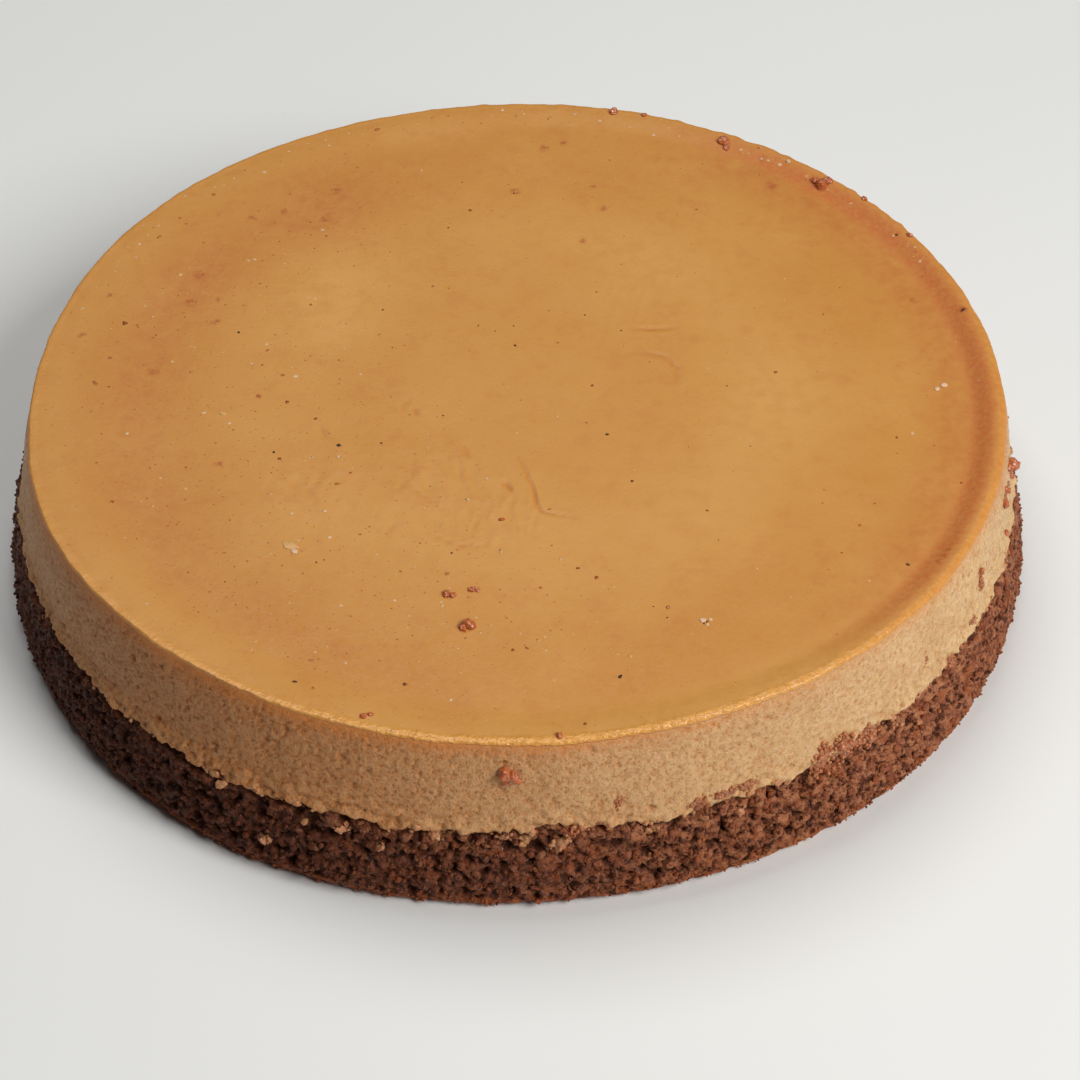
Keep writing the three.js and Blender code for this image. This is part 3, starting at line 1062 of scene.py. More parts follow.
def crumb(seat, normal, reach, flatness, seed):
    """An uneven crumb: a ball of rings from pole to pole whose radius is 1 + 0.42 coarse noise + 0.1 fine
    noise, flattened along the normal."""
    rows, columns = 18, 28
    tilt = np.linspace(-math.pi / 2, math.pi / 2, rows + 2)[:, None]
    around = np.linspace(0, 2 * math.pi, columns, endpoint=False)[None]
    ball = np.stack(
        [np.cos(tilt) * np.cos(around), np.cos(tilt) * np.sin(around), np.sin(tilt) + 0 * around], -1
    )
    grain = ball * reach / MM
    out = 1 + 0.42 * smooth_noise(ball * 1.3, seed) + 0.1 * smooth_noise(grain * 1.1, seed + 1)
    local = ball * out[..., None] * reach * np.array((1.0, 0.8, flatness))
    first, second = frames_of(normal, np.array(seed * 1.7))
    points = seat + local @ np.stack([first, second, normal])
    return closed_rings(points[1:-1], points[0].mean(0), points[-1].mean(0))


def crumb_patch(shape, spot, seed):
    """Grains crowded on one patch of the side: their places fall off from its middle as a normal spread does,
    and the larger grains lie in the middle."""
    degrees, height, length_round, half_height, grain, count = spot
    chance = np.random.default_rng(seed)
    across, up = chance.normal(0, 0.5, (2, count)).clip(-1.2, 1.2)
    turn = degrees + np.degrees(across * length_round * MM / shape.foot_radius)
    seats, normals = seat_on_side(shape, turn, height + up * half_height + 0.25 * across * half_height)
    sizes = grain * MM * chance.uniform(0.6, 1.25, count) * (1.15 - 0.45 * np.hypot(across, up))
    normals = unit(normals)
    lift = chance.uniform(0.0, 0.5, count)[:, None] * sizes[:, None]
    return scatter_grains(seats + normals * lift, normals, sizes, 0.8, 0.3, chance)


def finish_piece(name, shapes, material, tints=None):
    """One object from several shapes, each with its own number from 0 to 1 for the material to vary by."""
    made = build_object(name, *join_shapes(shapes))
    if tints is None:
        tints = [np.full(len(points), (number * 0.618) % 1) for number, (points, _, _) in enumerate(shapes)]
    add_mask(made, "tint", np.concatenate(tints))
    made.data.materials.append(material)
    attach(made, BODY)


def grain_tints(points, grains, chance):
    """A random number from 0 to 1 for each grain, given to all of its points."""
    return np.repeat(chance.uniform(0, 1, grains), len(points) // grains)


def spread_on_top(reach, count, chance):
    """Places spread evenly at random over a disc of the given reach, in millimetres."""
    turn = chance.uniform(0, 2 * math.pi, count)
    away = reach * np.sqrt(chance.uniform(0, 1, count))
    return away * np.cos(turn), away * np.sin(turn)


def crowded_on_top(reach, least, crowds, chance):
    """Places on the top in millimetres: an even spread thinned out at random, so that the share kept is a
    least share plus the patches of the crowds."""
    x, y = spread_on_top(reach, 900, chance)
    keep = chance.uniform(0, 1, len(x)) < least + patches(x, y, crowds)
    return x[keep], y[keep]


def back_of_rim(half_turn, reach, spread, limits, count, chance):
    """Places along the back of the rim at random: a half turn in degrees to both sides of the back, and a
    normal spread about a reach, within limits, in millimetres."""
    turn = np.radians(chance.uniform(95 - half_turn, 95 + half_turn, count))
    away = chance.normal(reach, spread, count).clip(*limits)
    return away * np.cos(turn), away * np.sin(turn)


# Chocolate crumbs on the top: x, y and reach in millimetres, and flatness.
TOP_CRUMBS = (
    (-10.2, -74.2, 1.6, 0.6),
    (-11.4, -75.0, 1.1, 0.6),
    (-14.9, -65.0, 1.1, 0.5),
    (-13.6, -65.4, 0.9, 0.6),
    (-9.6, -63.7, 0.9, 0.45),
    (-8.4, -63.9, 0.6, 0.5),
    (8.4, -106.6, 0.8, 0.8),
    (72.5, 74.6, 1.7, 0.7),
    (74.0, 75.4, 1.3, 0.7),
    (71.2, 76.0, 1.1, 0.6),
    (49.8, 92.0, 1.6, 0.4),
    (50.4, 89.8, 1.0, 0.4),
    (23.2, 103.9, 1.2, 0.8),
    (30.6, 102.4, 0.7, 0.7),
    (92.0, 54.3, 0.8, 0.6),
    (82.4, 68.6, 0.8, 0.5),
    (31.3, -68.9, 0.5, 0.5),
    (-30.8, -100.9, 0.9, 0.35),
    (-29.4, -100.4, 0.7, 0.35),
)

# Chocolate crumbs on the side: degrees round, height and reach in millimetres, and flatness.
SIDE_CRUMBS = (
    (-91.3, 35.5, 1.7, 0.9),
    (-90.5, 34.7, 1.5, 0.85),
    (-90.9, 34.0, 1.2, 0.8),
    (-90.0, 33.8, 1.0, 0.8),
    (-90.1, 35.1, 0.9, 0.7),
    (-9.0, 34.2, 1.5, 1.1),
    (-8.0, 32.6, 1.4, 1.2),
    (-10.2, 35.4, 1.0, 0.9),
    (-9.6, 32.0, 0.9, 0.8),
    (-14.2, 35.6, 1.0, 0.8),
    (-15.8, 34.4, 1.2, 0.8),
    (-17.2, 28.4, 0.8, 0.8),
    (-5.4, 24.5, 0.6, 0.9),
    (-1.5, 35.5, 0.5, 0.9),
    (-27.0, 33.6, 0.9, 0.7),
    (-27.6, 32.2, 0.7, 0.6),
    (-27.4, 30.3, 0.9, 0.7),
)

# Patches of crumb rubbed on the side: degrees round, height, half length round, half height and grain in
# millimetres, and the number of grains.
CRUMB_PATCHES = (
    (-9.2, 33.6, 1.6, 1.4, 0.45, 50),
    (-15.4, 34.6, 1.3, 1.0, 0.4, 26),
    (-27.6, 31.0, 0.8, 1.8, 0.5, 24),
    (-12.5, 34.4, 1.4, 0.7, 0.35, 14),
    (-27.3, 32.0, 0.9, 1.8, 0.35, 22),
    (-30.6, 25.8, 1.6, 1.0, 0.35, 30),
    (-40.2, 29.1, 0.5, 1.8, 0.28, 12),
    (-50.2, 22.2, 3.6, 1.9, 0.75, 130),
    (-53.6, 22.4, 3.6, 2.6, 0.75, 150),
    (-56.4, 22.2, 2.8, 3.0, 0.7, 110),
    (-79.6, 26.2, 1.0, 1.6, 0.35, 24),
    (-84.0, 21.4, 3.0, 1.0, 0.45, 50),
    (-71.0, 22.8, 2.2, 0.9, 0.6, 46),
    (-68.2, 23.0, 2.4, 1.1, 0.6, 56),
    (-65.6, 23.2, 2.4, 1.2, 0.6, 56),
    (-36.0, 22.8, 3.0, 1.0, 0.5, 40),
)

# Custard crumbs on the sponge: degrees round, height, half length round, half height and grain in
# millimetres, and the number of grains.
PALE_CRUMBS = (
    (-116.6, 8.8, 1.9, 0.9, 0.65, 16),
    (-104.0, 14.8, 0.9, 0.8, 0.6, 5),
    (-108.0, 18.0, 1.8, 0.8, 0.6, 12),
    (-112.4, 16.6, 1.0, 0.7, 0.6, 6),
    (-98.4, 19.2, 1.6, 0.8, 0.6, 10),
    (-122.0, 18.6, 1.5, 0.7, 0.6, 8),
    (-154.0, 21.0, 1.4, 1.0, 0.6, 9),
    (-91.2, 20.0, 1.4, 1.0, 0.7, 14),
    (-89.0, 18.9, 1.4, 1.6, 0.8, 20),
    (-85.6, 18.2, 1.8, 1.6, 0.8, 26),
    (-80.8, 21.4, 0.9, 1.3, 0.6, 14),
    (-76.0, 18.4, 1.8, 0.8, 0.65, 12),
    (-66.0, 17.4, 1.6, 0.8, 0.6, 10),
    (-46.0, 19.6, 1.6, 0.8, 0.6, 10),
    (-42.6, 16.4, 1.0, 0.7, 0.5, 6),
)

# Dark specks: x, y and reach in millimetres.
DARK_SPECKS = (
    (-3.5, -42.1, 0.65),
    (40.6, -39.3, 0.5),
    (12.7, -57.0, 0.5),
    (16.6, -59.9, 0.45),
    (20.9, -89.1, 0.5),
    (-22.8, -91.2, 0.5),
    (-45.1, -91.0, 0.5),
    (13.6, -103.0, 0.5),
    (82.2, -56.2, 0.5),
    (57.8, 6.5, 0.4),
    (-0.8, 15.8, 0.4),
    (-11.7, 65.5, 0.45),
    (-39.4, -18.3, 0.45),
    (-52.0, -22.8, 0.45),
    (-53.4, -20.6, 0.4),
    (-44.8, -9.4, 0.45),
    (-63.8, 20.3, 0.45),
    (-90.0, 23.2, 0.6),
    (-47.9, 30.5, 0.4),
    (88.9, 54.9, 0.6),
    (101.8, 26.6, 0.6),
    (83.2, -15.7, 0.4),
    (73.0, -44.0, 0.35),
    (96.0, -30.6, 0.35),
    (16.5, 2.0, 0.4),
    (19.6, -14.5, 0.4),
    (-14.0, -52.5, 0.4),
    (4.8, -63.0, 0.35),
    (1.9, -80.9, 0.4),
    (-36.4, -27.3, 0.35),
    (-33.6, -46.7, 0.35),
    (24.8, -29.7, 0.35),
    (38.5, -73.8, 0.35),
    (39.2, -73.2, 0.35),
)

# Pale curds: x, y and reach in millimetres.
PALE_CURDS = (
    (-46.7, -48.5, 0.5),
    (-46.7, -50.7, 0.5),
    (-52.3, -52.7, 0.6),
    (86.8, -14.2, 0.6),
    (-65.5, -7.5, 1.0),
    (-69.7, -7.3, 0.6),
    (-57.2, 16.3, 0.7),
    (-47.0, 32.6, 0.6),
    (-61.8, 46.9, 0.6),
    (-46.5, 58.0, 0.7),
    (-48.5, -40.2, 0.7),
    (-39.3, -22.0, 0.7),
    (-40.0, -47.6, 0.6),
    (-21.8, -56.7, 0.5),
    (9.1, -54.3, 0.5),
    (-25.6, -66.8, 0.6),
    (-36.6, -68.4, 0.6),
    (-15.4, -73.8, 0.5),
    (4.3, -78.6, 0.5),
)

# Raised curds and bubbles: x, y and reach in millimetres, flatness, and paleness from 0 to 1.
RAISED_CURDS = (
    (-48.4, -50.2, 1.5, 0.14, 0.2),
    (-47.3, -52.0, 0.8, 0.35, 1.0),
    (93.6, 0.6, 0.7, 0.4, 1.0),
    (95.2, 1.8, 0.8, 0.4, 1.0),
    (38.4, -72.8, 0.7, 0.35, 1.0),
    (39.9, -72.6, 0.5, 0.35, 1.0),
    (39.3, -74.1, 0.4, 0.35, 1.0),
)


def make_chocolate_crumbs(shape, finish):
    """Loose chocolate crumbs on the top and the side, and patches of crumb rubbed on the custard."""
    shapes = []
    for number, (x, y, reach, flatness) in enumerate(TOP_CRUMBS):
        seat, normal = seat_on_top(shape, x, y)
        shapes.append(crumb(seat, normal, reach * MM, flatness + 0.1, 300 + 7 * number))
    for number, (degrees, height, reach, flatness) in enumerate(SIDE_CRUMBS):
        seat, normal = seat_on_side(shape, degrees, height)
        seat = seat + normal * 0.25 * reach * MM
        shapes.append(crumb(seat, normal, reach * MM, flatness, 500 + 7 * number))
    loose = len(shapes)
    shapes += [crumb_patch(shape, spot, 610 + number) for number, spot in enumerate(CRUMB_PATCHES)]
    tints = [np.full(len(each[0]), float(number >= loose)) for number, each in enumerate(shapes)]
    finish_piece("chocolate_crumbs", shapes, crumb_material(finish), tints)


def make_custard_crumbs(shape, finish):
    """Crumbs of custard that cling to the sponge, and lumps and grains at random along the custard's lower
    end."""
    chance = np.random.default_rng(35)
    shapes = [crumb_patch(shape, spot, 700 + number) for number, spot in enumerate(PALE_CRUMBS)]
    for number, (degrees, height, length_round, half_height, _, _) in enumerate(PALE_CRUMBS):
        for part in range(2):
            turn = degrees + (part - 0.5) * 0.35 * length_round
            seat, normal = seat_on_side(shape, turn, height + (part - 0.5) * 0.7 * half_height)
            reach = (0.55 * length_round + 0.35 * half_height) * (0.9 - 0.2 * part)
            shapes.append(crumb(seat, normal, reach * MM, 0.7, 820 + 14 * number + 7 * part))
    count, lumps = 560, 44
    angle = crowded(chance.uniform(0, 2 * math.pi, count))
    height = custard_foot(shape, angle) + chance.uniform(-0.5, 0.7, count) * MM
    seats = custard_surface(shape, angle, height)[0]
    normals = unit(outwards(angle, -0.2))
    sizes = chance.lognormal(math.log(0.42), 0.35, count).clip(0.2, 0.9) * MM
    shapes.append(scatter_grains(seats[lumps:], normals[lumps:], sizes[lumps:], 0.7, 0.25, chance))
    for number, (seat, normal, size) in enumerate(zip(seats[:lumps], normals, sizes + 0.45 * MM)):
        shapes.append(crumb(seat - np.array((0, 0, 0.5 * MM)), normal, size, 0.6, 740 + 7 * number))
    finish_piece("custard_crumbs", shapes, custard_crumb_material(finish))


def crumb_places(shape, count, chance):
    """Places on the sponge's side at random, crowded to the front: degrees round, heights in millimetres,
    points and directions out. Places in the pits of the sponge are dropped, so that dark gaps stay open."""
    angle = crowded(chance.uniform(0, 2 * math.pi, count))
    line = layer_line(shape, angle) / MM
    height = 0.9 + (line - 1.2) * chance.uniform(0, 1, count)
    seats, normals = seat_on_side(shape, np.degrees(angle), height)
    open_and_lit = sponge_surface(shape, angle, height * MM, 0 * angle)[1]
    keep = chance.uniform(0.1, 0.75, count) < open_and_lit
    return np.degrees(angle[keep]), height[keep], seats[keep], unit(normals[keep])


def scattered_piece(name, degrees, parts, chance, material):
    """One object of scattered grains, each with its own tint, and the sponge's painted shade, painted light
    and nearness to the underside where it lies.
    """
    made = build_object(name, *parts)
    per_grain = len(parts[0]) // len(degrees)
    add_mask(made, "tint", grain_tints(parts[0], len(degrees), chance))
    # Painted shade on the sponge's left side, carried on to the grains.
    add_mask(made, "painted_shade_side", np.repeat(sponge_painted_shade(np.radians(degrees)), per_grain))
    add_mask(made, "dry_and_lit", np.repeat(sponge_painted_light(np.radians(degrees)), per_grain))
    add_mask(made, "crust", 0.7 * sponge_crust(parts[0]))
    made.data.materials.append(material)
    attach(made, BODY)


def make_sponge_grains(shape, finish):
    """Crumb that stands out of the sponge: lumps about 1.2 mm across, and beads under half as large that lie
    on the lumps and between them."""
    chance = np.random.default_rng(41)
    material = grain_material(finish)
    degrees, height, seats, normals = crumb_places(shape, 5600, chance)
    sizes = chance.lognormal(math.log(0.62), 0.3, len(seats)).clip(0.35, 1.1) * MM
    turn = np.radians(degrees)
    sizes *= 1 - 0.3 * turned_from(turn, -5, 36) - 0.35 * turned_from(turn, -165, 50)
    sizes *= 0.3 + 0.7 * smooth_step(1.0, 5.5, height)
    parts = scatter_grains(seats, normals, sizes, 0.75, 0.22, chance)
    scattered_piece("sponge_lumps", degrees, parts, chance, material)
    host = chance.integers(0, len(seats), 5600)
    aside = frames_of(normals[host], chance.uniform(0, 2 * math.pi, len(host)))[0]
    tip = chance.uniform(0.1, 1.4, len(host))[:, None]
    outward = normals[host] * np.cos(tip) + aside * np.sin(tip)
    on_lumps = seats[host] + outward * sizes[host][:, None] * np.where(tip < 0.7, 0.72, 0.9)
    loose_degrees, _, loose_seats, loose_normals = crumb_places(shape, 5200, chance)
    seats = np.concatenate([on_lumps, loose_seats])
    normals = np.concatenate([outward, loose_normals])
    degrees = np.concatenate([degrees[host], loose_degrees])
    sizes = chance.lognormal(math.log(0.27), 0.3, len(seats)).clip(0.14, 0.5) * MM
    sizes *= 1 - 0.35 * turned_from(np.radians(degrees), -8, 45)
    parts = scatter_grains(seats, normals, sizes, 0.8, 0.25, chance, bead_ball)
    scattered_piece("sponge_grains", degrees, parts, chance, material)


def make_dark_specks(shape, finish):
    """Dark specks on the top: the larger ones listed one by one and fine flakes at random."""
    chance = np.random.default_rng(52)
    by_hand = np.array(DARK_SPECKS)
    count = 130
    x, y = spread_on_top(103, count, chance)
    fine = chance.lognormal(math.log(0.15), 0.35, count).clip(0.08, 0.35)
    sizes = np.append(0.9 * by_hand[:, 2], fine) * MM
    seats, normals = seat_on_top(shape, np.append(by_hand[:, 0], x), np.append(by_hand[:, 1], y))
    flakes = scatter_grains(seats, normals, sizes, 0.35, 0.35, chance)
    tints = [grain_tints(flakes[0], len(seats), chance)]
    finish_piece("dark_specks", [flakes], speck_material(finish), tints)


def make_red_spots(shape, finish):
    """Thin specks of burnt syrup on the top at random, denser to the left and along the back."""
    chance = np.random.default_rng(74)
    spread = crowded_on_top(103, 0.02, SPOTTED, chance)
    on_rim = back_of_rim(75, 102.5, 2.2, (95, 106), 40, chance)
    x, y = np.concatenate([spread, on_rim], axis=1)
    sizes = chance.lognormal(math.log(0.24), 0.4, len(x)).clip(0.1, 0.7) * MM
    seats, normals = seat_on_top(shape, x, y)
    seats -= normals * (0.035 * sizes)[:, None]
    spots = scatter_grains(seats, normals, 1.1 * sizes, 0.07, 0.3, chance)
    tints = [grain_tints(spots[0], len(seats), chance)]
    finish_piece("burnt_syrup_specks", [spots], syrup_material(finish), tints)


def make_pale_specks(shape, finish):
    """Pale specks and small blisters on the top: curds listed one by one, some of them raised, and fine
    ones at random, denser to the left and along the back of the rim."""
    chance = np.random.default_rng(63)
    by_hand = np.array(PALE_CURDS)
    spread = crowded_on_top(104, 0.04, CURDLED, chance)
    on_rim = back_of_rim(70, 104.5, 1.6, (99, 106.6), 60, chance)
    x, y = np.concatenate([by_hand[:, :2].T, spread, on_rim], axis=1)
    fine = chance.lognormal(math.log(0.24), 0.4, len(spread[0])).clip(0.1, 0.6)
    rim = chance.lognormal(math.log(0.3), 0.4, len(on_rim[0])).clip(0.12, 0.7)
    sizes = np.concatenate([0.75 * by_hand[:, 2], fine, rim]) * MM
    seats, normals = seat_on_top(shape, x, y)
    seats -= normals * (0.06 * sizes)[:, None]
    # Pale flat specks: curds, and small bubbles whose paleness is partly a painted highlight.
    shapes = [scatter_grains(seats, normals, 1.15 * sizes, 0.12, 0.3, chance)]
    tints = [grain_tints(shapes[0][0], len(seats), chance)]
    for number, (x, y, reach, flatness, paleness) in enumerate(RAISED_CURDS):
        seat, normal = seat_on_top(shape, x, y)
        shapes.append(crumb(seat, normal, reach * MM, flatness, 860 + 7 * number))
        tints.append(np.full(len(shapes[-1][0]), paleness))
    finish_piece("pale_specks", shapes, curd_material(finish), tints)


# ---------------------------------------------------------------- materials


def add_node(tree, kind, inputs=None, **properties):
    """A node with its properties and input values set; a value that is a socket is linked instead."""
    made = tree.nodes.new(kind)
    for name, value in properties.items():
        setattr(made, name, value)
    for key, value in (inputs or {}).items():
        if isinstance(value, bpy.types.NodeSocket):
            tree.links.new(value, made.inputs[key])
        else:
            made.inputs[key].default_value = value
    return made


def noise(tree, place, size, detail=2.0, roughness=0.5, distortion=0.0):
    """Noise from 0 to 1 whose waves are about the given size in millimetres."""
    inputs = {"Vector": place, "Scale": 1 / (size * MM), "Detail": detail}
    inputs |= {"Roughness": roughness, "Distortion": distortion}
    return add_node(tree, "ShaderNodeTexNoise", inputs).outputs["Fac"]


def dots(tree, place, spacing):
    """Distance from the nearest of many scattered points, in units of the spacing in millimetres."""
    inputs = {"Vector": place, "Scale": 1 / (spacing * MM)}
    return add_node(tree, "ShaderNodeTexVoronoi", inputs).outputs["Distance"]


def lace(tree, place, spacing, width):
    """A net of thin lines round cells of the given spacing: 1 on the lines, 0 past a share of the spacing."""
    inputs = {"Vector": place, "Scale": 1 / (spacing * MM)}
    cells = add_node(tree, "ShaderNodeTexVoronoi", inputs, feature="DISTANCE_TO_EDGE")
    return band(tree, cells.outputs["Distance"], width, 0.0)


def bent_place(tree, place, size, reach):
    """The place moved about by noise of a given size, by up to half the reach, in millimetres."""
    inputs = {"Vector": place, "Scale": 1 / (size * MM), "Detail": 1.0}
    moved = add_node(tree, "ShaderNodeTexNoise", inputs).outputs["Color"]
    shift = add_node(tree, "ShaderNodeVectorMath", {0: moved, 1: (reach * MM,) * 3}, operation="MULTIPLY")
    summed = {0: place, 1: shift.outputs["Vector"]}
    return add_node(tree, "ShaderNodeVectorMath", summed, operation="ADD").outputs["Vector"]


def band(tree, value, low, high, low_out=0.0, high_out=1.0):
    """The value carried smoothly from low..high to low_out..high_out."""
    inputs = {"Value": value, "From Min": low, "From Max": high, "To Min": low_out, "To Max": high_out}
    return add_node(tree, "ShaderNodeMapRange", inputs, interpolation_type="SMOOTHSTEP").outputs["Result"]


def calculate(tree, operation, first, second):
    """A maths node on two numbers or sockets."""
    made = add_node(tree, "ShaderNodeMath", operation=operation)
    for socket, value in zip(made.inputs, (first, second)):
        if isinstance(value, bpy.types.NodeSocket):
            tree.links.new(value, socket)
        else:
            socket.default_value = value
    return made.outputs[0]


def times(tree, first, second):
    """The product of two numbers or sockets."""
    return calculate(tree, "MULTIPLY", first, second)


def plus(tree, first, second):
    """The sum of two numbers or sockets."""
    return calculate(tree, "ADD", first, second)


def mix(tree, factor, first, second, kind="MIX"):
    """Two colours mixed by a factor."""
    made = add_node(tree, "ShaderNodeMix", data_type="RGBA", blend_type=kind)
    for socket, value in ((made.inputs[0], factor), (made.inputs[6], first), (made.inputs[7], second)):
        if isinstance(value, bpy.types.NodeSocket):
            tree.links.new(value, socket)
        elif isinstance(value, (int, float)):
            socket.default_value = value
        else:
            socket.default_value = (*value, 1.0)
    return made.outputs[2]


def mask(tree, name):
    """A number stored on the mesh."""
    return add_node(tree, "ShaderNodeAttribute", attribute_name=name).outputs["Fac"]


def new_material(name, roughness, subsurface=0.0, shine=0.5):
    """A material with its Principled shader, its place node and its plain numbers set."""
    made = bpy.data.materials.new(name)
    made.use_nodes = True
    tree = made.node_tree
    shader = tree.nodes["Principled BSDF"]
    shader.inputs["Roughness"].default_value = roughness
    shader.inputs["IOR"].default_value = 1.42
    shader.inputs["Specular IOR Level"].default_value = shine
    if subsurface:
        shader.inputs["Subsurface Weight"].default_value = subsurface
        shader.inputs["Subsurface Radius"].default_value = (1.0, 0.5, 0.25)
        shader.inputs["Subsurface Scale"].default_value = 2.0 * MM
    return made, tree, shader, add_node(tree, "ShaderNodeTexCoord").outputs["Object"]


def food_grain_group():
    """A shader node group for every food here: fine noise in two sizes, given as a tint mask and a height."""
    name = "Food grain"
    if name in bpy.data.node_groups:
        return bpy.data.node_groups[name]
    group = bpy.data.node_groups.new(name, "ShaderNodeTree")
    interface = group.interface
    interface.new_socket("Place", in_out="INPUT", socket_type="NodeSocketVector")
    size = interface.new_socket("Size", in_out="INPUT", socket_type="NodeSocketFloat")
    size.default_value = 1.0
    interface.new_socket("Tint", in_out="OUTPUT", socket_type="NodeSocketFloat")
    interface.new_socket("Height", in_out="OUTPUT", socket_type="NodeSocketFloat")
    entry = group.nodes.new("NodeGroupInput")
    leave = group.nodes.new("NodeGroupOutput")
    scale = calculate(group, "DIVIDE", 1 / MM, entry.outputs["Size"])
    place = entry.outputs["Place"]
    coarse = add_node(group, "ShaderNodeTexNoise", {"Vector": place, "Scale": scale, "Detail": 3.0})
    finer = times(group, scale, 3.1)
    cells = add_node(group, "ShaderNodeTexVoronoi", {"Vector": place, "Scale": finer})
    height = times(group, cells.outputs["Distance"], 0.5)
    height = plus(group, height, coarse.outputs["Fac"])
    group.links.new(coarse.outputs["Fac"], leave.inputs["Tint"])
    group.links.new(height, leave.inputs["Height"])
    return group


def food_grain(tree, place, size):
    """The food grain group placed in a material, with its grain size in millimetres."""
    made = add_node(tree, "ShaderNodeGroup", node_tree=food_grain_group())
    tree.links.new(place, made.inputs["Place"])
    made.inputs["Size"].default_value = size
    return made.outputs["Tint"], made.outputs["Height"]


def finish_surface(tree, shader, tone, roughness, height, depth):
    """Links colour, roughness and a bump whose depth is given in millimetres."""
    tree.links.new(tone, shader.inputs["Base Color"])
    tree.links.new(roughness, shader.inputs["Roughness"])
    bump = add_node(tree, "ShaderNodeBump", {"Height": height, "Distance": depth * MM, "Strength": 1.0})
    tree.links.new(bump.outputs["Normal"], shader.inputs["Normal"])


def caramel_material(finish):
    """Satin caramel skin: slow mottling, paler worn places and a paler inner slope at the front as painted
    light, deep syrup on the slope of the rim, brown dots, burnt spots, painted shade in the creases, and a
    pebbled edge that is paler along the front, partly as a painted highlight."""
    made, tree, shader, place = new_material("Caramel skin", 0.42)
    inset = mask(tree, "inset")
    grain, height = food_grain(tree, place, 1.1)
    slow = band(tree, noise(tree, place, 26, 3.0, 0.55), 0.38, 0.7, 0.0, 0.35)
    tone = mix(tree, slow, finish.caramel, finish.caramel_pale)
    blotch = band(tree, noise(tree, place, 5.5, 4.0, 0.6, 0.4), 0.5, 0.72, 0.0, 0.28)
    tone = mix(tree, blotch, tone, finish.caramel_deep)
    # Paler worn places, and the inner slope at the front made paler as painted light.
    worn_and_lit = band(tree, noise(tree, place, 4.0, 4.0), 0.3, 0.6, 0.6, 1.0)
    tone = mix(tree, times(tree, mask(tree, "pale"), worn_and_lit), tone, finish.caramel_pale)
    patches = band(tree, noise(tree, place, 3.4, 5.0, 0.65), 0.34, 0.68, 0.35, 1.0)
    stain = times(tree, mask(tree, "stain"), patches)
    tone = mix(tree, times(tree, stain, 0.46), tone, finish.caramel_deep)
    ragged = band(tree, noise(tree, place, 1.2, 4.0, 0.65), 0.34, 0.62, 0.45, 1.0)
    pool = times(tree, mask(tree, "pool"), ragged)
    tone = mix(tree, pool, tone, finish.caramel_red)
    # The crown's edge is paler along the front: partly thin caramel, partly a painted highlight.
    edge = times(tree, band(tree, inset, 2.6, 1.3), band(tree, mask(tree, "side"), 1.0, 0.5))
    streaks = band(tree, noise(tree, place, 1.3, 3.0, 0.6), 0.42, 0.62, 0.95, 0.35)
    streaks = times(tree, streaks, mask(tree, "beaded"))
    tone = mix(tree, times(tree, edge, streaks), tone, finish.caramel_edge_and_highlight)
    # Under the crown the custard is orange with syrup and brightened as painted light where soaked.
    below = mix(tree, band(tree, mask(tree, "soaked"), 0.1, 0.5), finish.custard, finish.custard_rim_stain_and_light)
    tone = mix(tree, mask(tree, "side"), tone, below)
    tone = mix(tree, mask(tree, "flushed"), tone, finish.custard_soaked)
    small = band(tree, dots(tree, place, 1.7), 0.16, 0.06, 0.0, 0.75)
    large = band(tree, dots(tree, place, 3.7), 0.09, 0.055, 0.0, 1.0)
    spots = times(tree, calculate(tree, "MAXIMUM", small, large), mask(tree, "specked"))
    tone = mix(tree, spots, tone, finish.speck_red)
    uneven = band(tree, noise(tree, place, 1.0, 3.0, 0.6), 0.36, 0.6, 0.35, 1.0)
    burnt = times(tree, mask(tree, "burnt"), uneven)
    tone = mix(tree, band(tree, burnt, 0.12, 0.85, 0.0, 0.9), tone, finish.speck_red)
    # Painted shade in the creases and wrinkles.
    tone = mix(tree, times(tree, mask(tree, "crease"), 0.8), tone, finish.caramel_deep)
    fine = band(tree, grain, 0.35, 0.7, 0.0, 0.1)
    tone = mix(tree, fine, tone, finish.caramel_pale)
    satin = band(tree, noise(tree, place, 2.0, 3.0), 0.3, 0.7, 0.4, 0.54)
    front = times(tree, edge, mask(tree, "beaded"))
    rough = calculate(tree, "SUBTRACT", satin, times(tree, front, 0.3))
    rough = plus(tree, rough, times(tree, mask(tree, "pool"), 0.2))
    pebbles = times(tree, noise(tree, place, 0.8, 1.0), times(tree, front, 7.0))
    finish_surface(tree, shader, tone, rough, plus(tree, height, pebbles), 0.05)
    return made


